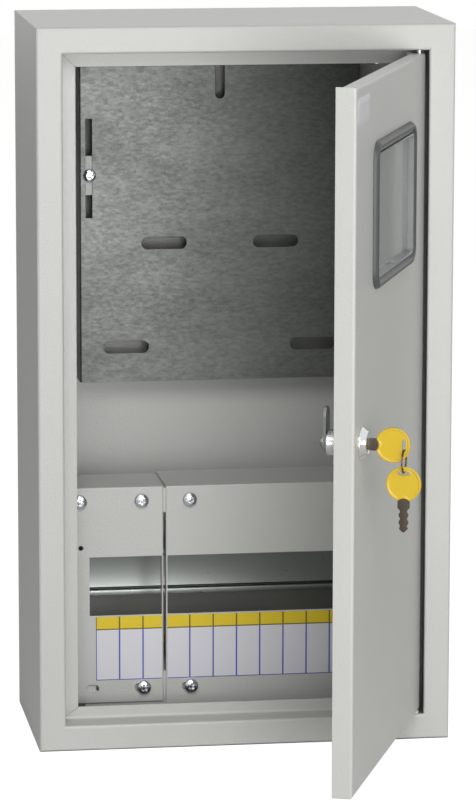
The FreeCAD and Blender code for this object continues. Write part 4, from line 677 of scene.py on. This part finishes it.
# %% [markdown]
# The blade is stamped from nickel-plated steel. Its outline has a round head
# that the bow grips, a shoulder, two lobes and an arrow point. A stamped
# blade has softened edges, so the outline is drawn in a little on both faces.
# The shallow groove that runs along the middle of a real one is left out.

# %% Key blades
HEAD_POINTS = 19
head_turn = np.radians(np.linspace(137, 43, HEAD_POINTS))
head = np.stack([np.cos(head_turn), np.sin(head_turn)], -1) * HEAD_RADIUS + (0, HEAD_MIDDLE)
side = np.array([
    (4.25, -12.4), (4.25, -16.4), (4.1, -16.9), (3.4, -17.6), (2.6, -18.8), (2.3, -19.3),
    (2.5, -19.8), (3.2, -20.8), (3.45, -21.6), (3.3, -22.7), (2.6, -23.9), (2.35, -24.4),
    (2.5, -24.9), (3.2, -25.9), (3.45, -26.8), (3.3, -27.8), (2.6, -28.9), (2.35, -29.4),
    (2.6, -30.2), (3.1, -31.2), (2.9, -31.6), (1.0, -33.6),
])
outline = np.concatenate([head, side, [(0.0, -34.1)], side[::-1] * (-1, 1)])
tangent = np.roll(outline, -1, 0) - np.roll(outline, 1, 0)
tangent /= np.linalg.norm(tangent, axis=1)[:, None]
inward = np.stack([tangent[:, 1], -tangent[:, 0]], -1)
if inward[HEAD_POINTS // 2, 1] > 0:
    inward = -inward
section = [(0.5, -1.0), (0.12, -0.95), (0.0, -0.75), (0.0, 0.75), (0.12, 0.95), (0.5, 1.0)]
rings = np.stack([outline + inward * inset for inset, _ in section])
heights = np.array([thick for _, thick in section])[:, None]
for inserted, body, word in ((True, "barrel", "key"), (False, "spare", "spare_key")):
    piece(
        word + "_blade_stamped", on_key(inserted, rings[..., 0], rings[..., 1], heights),
        key_nickel, body, [word + "_blade"], sharp=50,
    )

# %% [markdown]
# The keys hang on a split ring: flat spring wire wound twice round, so it
# shows as two strands side by side. Its middle line is a circle that steps
# from one side to the other half way, y = s tanh(7 (t - 1)) for t from 0 to 2
# turns, where s is half the distance of the strands. The ends stop a little
# short of each other. The wire's section is a rectangle with round corners.

# %% Split ring
RING_RADIUS = 7.9
RING_START = 200
STRAND_STEP = 0.38
WIRE_HALF = (0.5, 0.36)
WIRE_SQUARE = 0.6
turns = np.linspace(0.02, 1.98, 220)[:, None]
angle = 2 * math.pi * turns + math.radians(RING_START)
side_step = STRAND_STEP * np.tanh(7 * (turns - 1))
wire = np.radians(np.linspace(0, 360, 16, endpoint=False))[None, :]
wire_radial = WIRE_HALF[0] * np.sign(np.cos(wire)) * np.abs(np.cos(wire)) ** WIRE_SQUARE
wire_side = WIRE_HALF[1] * np.sign(np.sin(wire)) * np.abs(np.sin(wire)) ** WIRE_SQUARE
ring_points = from_door(
    LOCK[0] + (RING_RADIUS + wire_radial) * np.cos(angle),
    LOCK[1] - SLOT_OUT + side_step + wire_side,
    LOCK[2] + RING_MIDDLE + (RING_RADIUS + wire_radial) * np.sin(angle),
)
piece(
    "split_ring_wound", ring_points, ring_steel, "ring", ["key_ring"], sharp=50
)

# %% [markdown]
# ## The screws
#
# The covers and the panel are held by zinc-plated pan-head screws. The head is
# a low dome with a rounded edge, and the cross in it is where the driver goes.
# The grid is polar: rings of points from the middle out over the head, round
# its edge, in to the shank and down to the tip. The cross is a field that is 1
# inside the two arms and falls to 0 over a quarter of a millimetre. A shallow
# dish lies between the arms. The arms and the dish are shares of the head's
# radius, and their depths shares of its height.

# %% Screws
ARM_HALF = 0.14
ARM_REACH = 0.5
ARM_DEPTH = 0.55
ARM_EDGE = 0.25
DISH_REACH = 0.45
DISH_DEPTH = 0.12


def screw_grid(radius, crown, shank, length, spin):
    """Rings x columns x (x, z, out) of one screw, in mm. Out is the height above the sheet."""
    columns = 72
    theta = np.linspace(0, 2 * math.pi, columns, endpoint=False)[None, :]
    top = np.concatenate([np.linspace(0.02, 0.62, 24), np.linspace(0.68, 0.9, 5)])[:, None] * radius
    dome = crown * (1 - 0.32 * (top / radius) ** 2)
    x, z = top * np.cos(theta), top * np.sin(theta)
    narrow = np.minimum(np.abs(x), np.abs(z)) - ARM_HALF * radius
    far = np.maximum(np.abs(x), np.abs(z)) - ARM_REACH * radius
    inside = np.clip(-np.maximum(narrow, far) / ARM_EDGE + 0.5, 0, 1)
    dish = np.clip(1.2 - top / (DISH_REACH * radius), 0, 1)
    out = dome - inside * crown * ARM_DEPTH - DISH_DEPTH * crown * dish * (1 - inside)
    rim = np.array([(0.95, 0.62), (0.985, 0.48), (1.0, 0.3), (1.0, 0.08), (0.98, 0.0)])
    low = np.array([(shank, 0.0), (shank, -length + 1.0), (shank * 0.6, -length), (0.02, -length)])
    rest_radius = np.concatenate([rim[:, 0] * radius, low[:, 0]])[:, None]
    rest_out = np.concatenate([rim[:, 1] * crown, low[:, 1]])[:, None]
    x = np.concatenate([x, rest_radius * np.cos(theta)])
    z = np.concatenate([z, rest_radius * np.sin(theta)])
    out = np.concatenate([out, np.broadcast_to(rest_out, (len(rest_out), columns))])
    cos, sin = math.cos(spin), math.sin(spin)
    return np.stack([x * cos - z * sin, x * sin + z * cos, out], -1)


SHANK = (2.0, 9.0)
FIRST_SPIN = 0.4
NEXT_SPIN = 1.3


def screws(name, spots, front, radius, crown, stands_for):
    """All screws of one kind as one mesh, each turned to its own rest angle."""
    made = []
    for number, (x, z) in enumerate(spots):
        grid = screw_grid(radius, crown, *SHANK, FIRST_SPIN + NEXT_SPIN * number)
        world = np.stack([grid[..., 0] + x, front - grid[..., 2], grid[..., 1] + z], -1) * MM
        made.append(piece(name + str(number + 1), world, bright_zinc, "case"))
    bpy.ops.object.select_all(action="DESELECT")
    for thing in made:
        thing.select_set(True)
    bpy.context.view_layer.objects.active = made[0]
    bpy.ops.object.join()
    made[0].name = name
    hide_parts(stands_for)


COVER_FRONT = -105.1
PANEL_FRONT = -21.1
COVER_HEAD = (5.4, 3.4)
PANEL_HEAD = (4.8, 3.0)
COVER_SPOTS = [(-118.4, -91.7), (-71.6, -91.7), (-34.9, -91.7), (118.4, -91.7)]
COVER_SPOTS += [(-70.0, -236.1), (-33.9, -236.1), (108.0, -236.1)]
PANEL_SPOTS = [(-100.5, 145.0), (100.5, 145.0)]
screws("cover_screws_cross", COVER_SPOTS, COVER_FRONT, *COVER_HEAD, "cover_screws")
screws("panel_screws_cross", PANEL_SPOTS, PANEL_FRONT, *PANEL_HEAD, "panel_screws")

# %% [markdown]
# ## The module rail
#
# The rail is roll formed from zinc-plated strip, so its bends are round and
# its lips shine. Its section is the middle line of the strip, moved half a
# thickness to each side, and the whole section is carried along the rail.

# %% Module rail
HALF_STRIP = 0.5
BEND_RADIUS = 1.3
TROUGH_HALF = 13.0
RAIL_HALF = 17.5
TIP_ROUND = 0.3
END_ROW = 0.3
rail_low, rail_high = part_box("din_rail")
front_y, back_y = rail_low.y / MM + HALF_STRIP, rail_high.y / MM - HALF_STRIP
rail_z = (rail_low.z + rail_high.z) / 2 / MM
bends = np.radians(np.linspace(0, 90, 6))


def bend(y, z, start, clockwise):
    """Points of a round bend of the strip about (y, z), from one angle on by a right angle."""
    angle = np.radians(start) + (-bends if clockwise else bends)
    return np.stack([y + BEND_RADIUS * np.cos(angle), z + BEND_RADIUS * np.sin(angle)], -1)


half_line = np.concatenate([
    bend(back_y - BEND_RADIUS, TROUGH_HALF - BEND_RADIUS, 0, False),
    bend(front_y + BEND_RADIUS, TROUGH_HALF + BEND_RADIUS, 270, True),
    [(front_y, RAIL_HALF - TIP_ROUND - 1.0), (front_y, RAIL_HALF - TIP_ROUND)],
])
middle_line = np.concatenate([half_line[::-1] * (1, -1), half_line])
step = np.gradient(middle_line, axis=0)
step /= np.linalg.norm(step, axis=1)[:, None]
beside = np.stack([-step[:, 1], step[:, 0]], -1) * HALF_STRIP
last_step = middle_line[-1] - middle_line[-2]
tip = last_step / np.linalg.norm(last_step) * TIP_ROUND
section = np.concatenate([
    middle_line + beside, [middle_line[-1] + tip], (middle_line - beside)[::-1],
    [middle_line[0] + tip * (1, -1)],
])
first, last = rail_low.x, rail_high.x
ends = np.array([first, first + END_ROW * MM, last - END_ROW * MM, last])[:, None]
rail_points = np.stack([
    np.broadcast_to(ends, (4, len(section))),
    np.broadcast_to(section[:, 0] * MM, (4, len(section))),
    np.broadcast_to((section[:, 1] + rail_z) * MM, (4, len(section))),
], -1)
piece(
    "module_rail_rolled", rail_points, rail_zinc, "case", ["din_rail"], sharp=45
)

# %% [markdown]
# ## The sticker place
#
# A small sticker sits near the door's upper free corner. It carries nothing
# here: a bare film of 45 by 20 mm with round corners, glued to the paint. Its
# film is 0.2 mm thick with a softened edge.

# %% Sticker
STICKER_HALF = (22.5, 10.0)
STICKER_CORNER = 5.0
STICKER_PLACE = (-235.7, 230.0)
FILM = 0.2
SOFT_EDGE = 0.15
sticker_centre, sticker_out = round_path(
    STICKER_HALF[0] - STICKER_CORNER, STICKER_HALF[1] - STICKER_CORNER, 8
)
sticker_reach = np.array([0.01, STICKER_CORNER - SOFT_EDGE, STICKER_CORNER, STICKER_CORNER])[None, :]
sticker_y = DOOR_FACE - np.array([FILM, FILM, 0.12, 0.02])[None, :]
sticker_x = STICKER_PLACE[0] + sticker_centre[:, :1] + sticker_out[:, :1] * sticker_reach
sticker_z = STICKER_PLACE[1] + sticker_centre[:, 1:] + sticker_out[:, 1:] * sticker_reach
sticker_points = from_door(sticker_x, sticker_y, sticker_z).transpose(1, 0, 2)
piece("bare_sticker", sticker_points, sticker_film, "door")

# %% [markdown]
# ## Light, floor and backdrop
#
# The photograph is a catalogue picture. A broad light hangs high in front, a
# weaker one stands to the right, so the open door shades the right half of the
# recess, and a small one close in front reaches into the recess. Their
# strengths were solved from how bright each plain face looks. The floor is
# pale and keeps a soft shadow, and a glow that only the camera sees lifts it to
# white. What the camera and the mirrored rays see of the world is plain white,
# and the light it gives is much weaker.

# %% Light and floor
AMBIENT = 0.25
FLOOR_GLOW = 0.75
FLOOR_HALF = 6.0
FLOOR_LEVEL = -270 * MM
world = bpy.data.worlds.new("studio")
bpy.context.scene.world = world
world.use_nodes = True
sky = world.node_tree
sky.nodes.clear()
sky_out = sky.nodes.new("ShaderNodeOutputWorld")
rays = add(sky, "ShaderNodeLightPath").outputs
seen = add(
    sky, "ShaderNodeMath", {"operation": "MAXIMUM"},
    {0: rays["Is Camera Ray"], 1: rays["Is Transmission Ray"]},
)
shows = add(
    sky, "ShaderNodeMath", {"operation": "MAXIMUM"},
    {0: seen.outputs[0], 1: rays["Is Glossy Ray"]},
)
ambient = add(sky, "ShaderNodeBackground", {"Color": colour("#FFFFFF"), "Strength": AMBIENT})
white = add(sky, "ShaderNodeBackground", {"Color": colour("#FFFFFF"), "Strength": 1.0})
mix = add(
    sky, "ShaderNodeMixShader",
    links={0: shows.outputs[0], 1: ambient.outputs[0], 2: white.outputs[0]},
)
sky.links.new(mix.outputs[0], sky_out.inputs["Surface"])


def area_lamp(name, at, aim, width, height, watts):
    """A soft box: a rectangle of light at a point, turned to look at another."""
    data = bpy.data.lights.new(name, "AREA")
    data.shape = "RECTANGLE"
    data.size, data.size_y, data.energy = width, height, watts
    lamp = bpy.data.objects.new(name, data)
    lamp.location = at
    lamp.rotation_euler = (Vector(aim) - Vector(at)).to_track_quat("-Z", "Y").to_euler()
    bpy.context.collection.objects.link(lamp)


area_lamp("high_softbox", (-0.3, -2.6, 2.0), (0, 0, 0), 1.4, 1.4, 33.5)
area_lamp("right_softbox", (1.6, -2.8, 0.6), (0, 0, 0), 1.4, 1.4, 10.5)
area_lamp("near_softbox", (0.1, -2.0, 0.05), (0, 0, -0.05), 0.8, 0.8, 11.2)

floor_mesh = bpy.data.meshes.new("studio_floor")
floor_turns = [(-1, -1), (1, -1), (1, 1), (-1, 1)]
floor_corners = [(x * FLOOR_HALF, y * FLOOR_HALF, FLOOR_LEVEL) for x, y in floor_turns]
floor_mesh.from_pydata(floor_corners, [], [(0, 1, 2, 3)])
floor = bpy.data.objects.new("studio_floor", floor_mesh)
bpy.context.collection.objects.link(floor)
floor_paint, tree, output = new_material("white_floor")
matt = add(tree, "ShaderNodeBsdfDiffuse", {"Color": colour("#F4F4F2")})
path = add(tree, "ShaderNodeLightPath")
glow_only = add(
    tree, "ShaderNodeMath", {"operation": "MULTIPLY", 1: FLOOR_GLOW},
    {0: path.outputs["Is Camera Ray"]},
)
glow = add(
    tree, "ShaderNodeEmission", {"Color": colour("#FFFFFF")}, {"Strength": glow_only.outputs[0]}
)
both = add(tree, "ShaderNodeAddShader", links={0: matt.outputs[0], 1: glow.outputs[0]})
tree.links.new(both.outputs[0], output.inputs["Surface"])
floor_mesh.materials.append(floor_paint)

# %% [markdown]
# ## The view
#
# The picture uses the plain Standard view, so that a colour comes out as it is
# written.

# %% Finish
bpy.context.scene.view_settings.view_transform = "Standard"
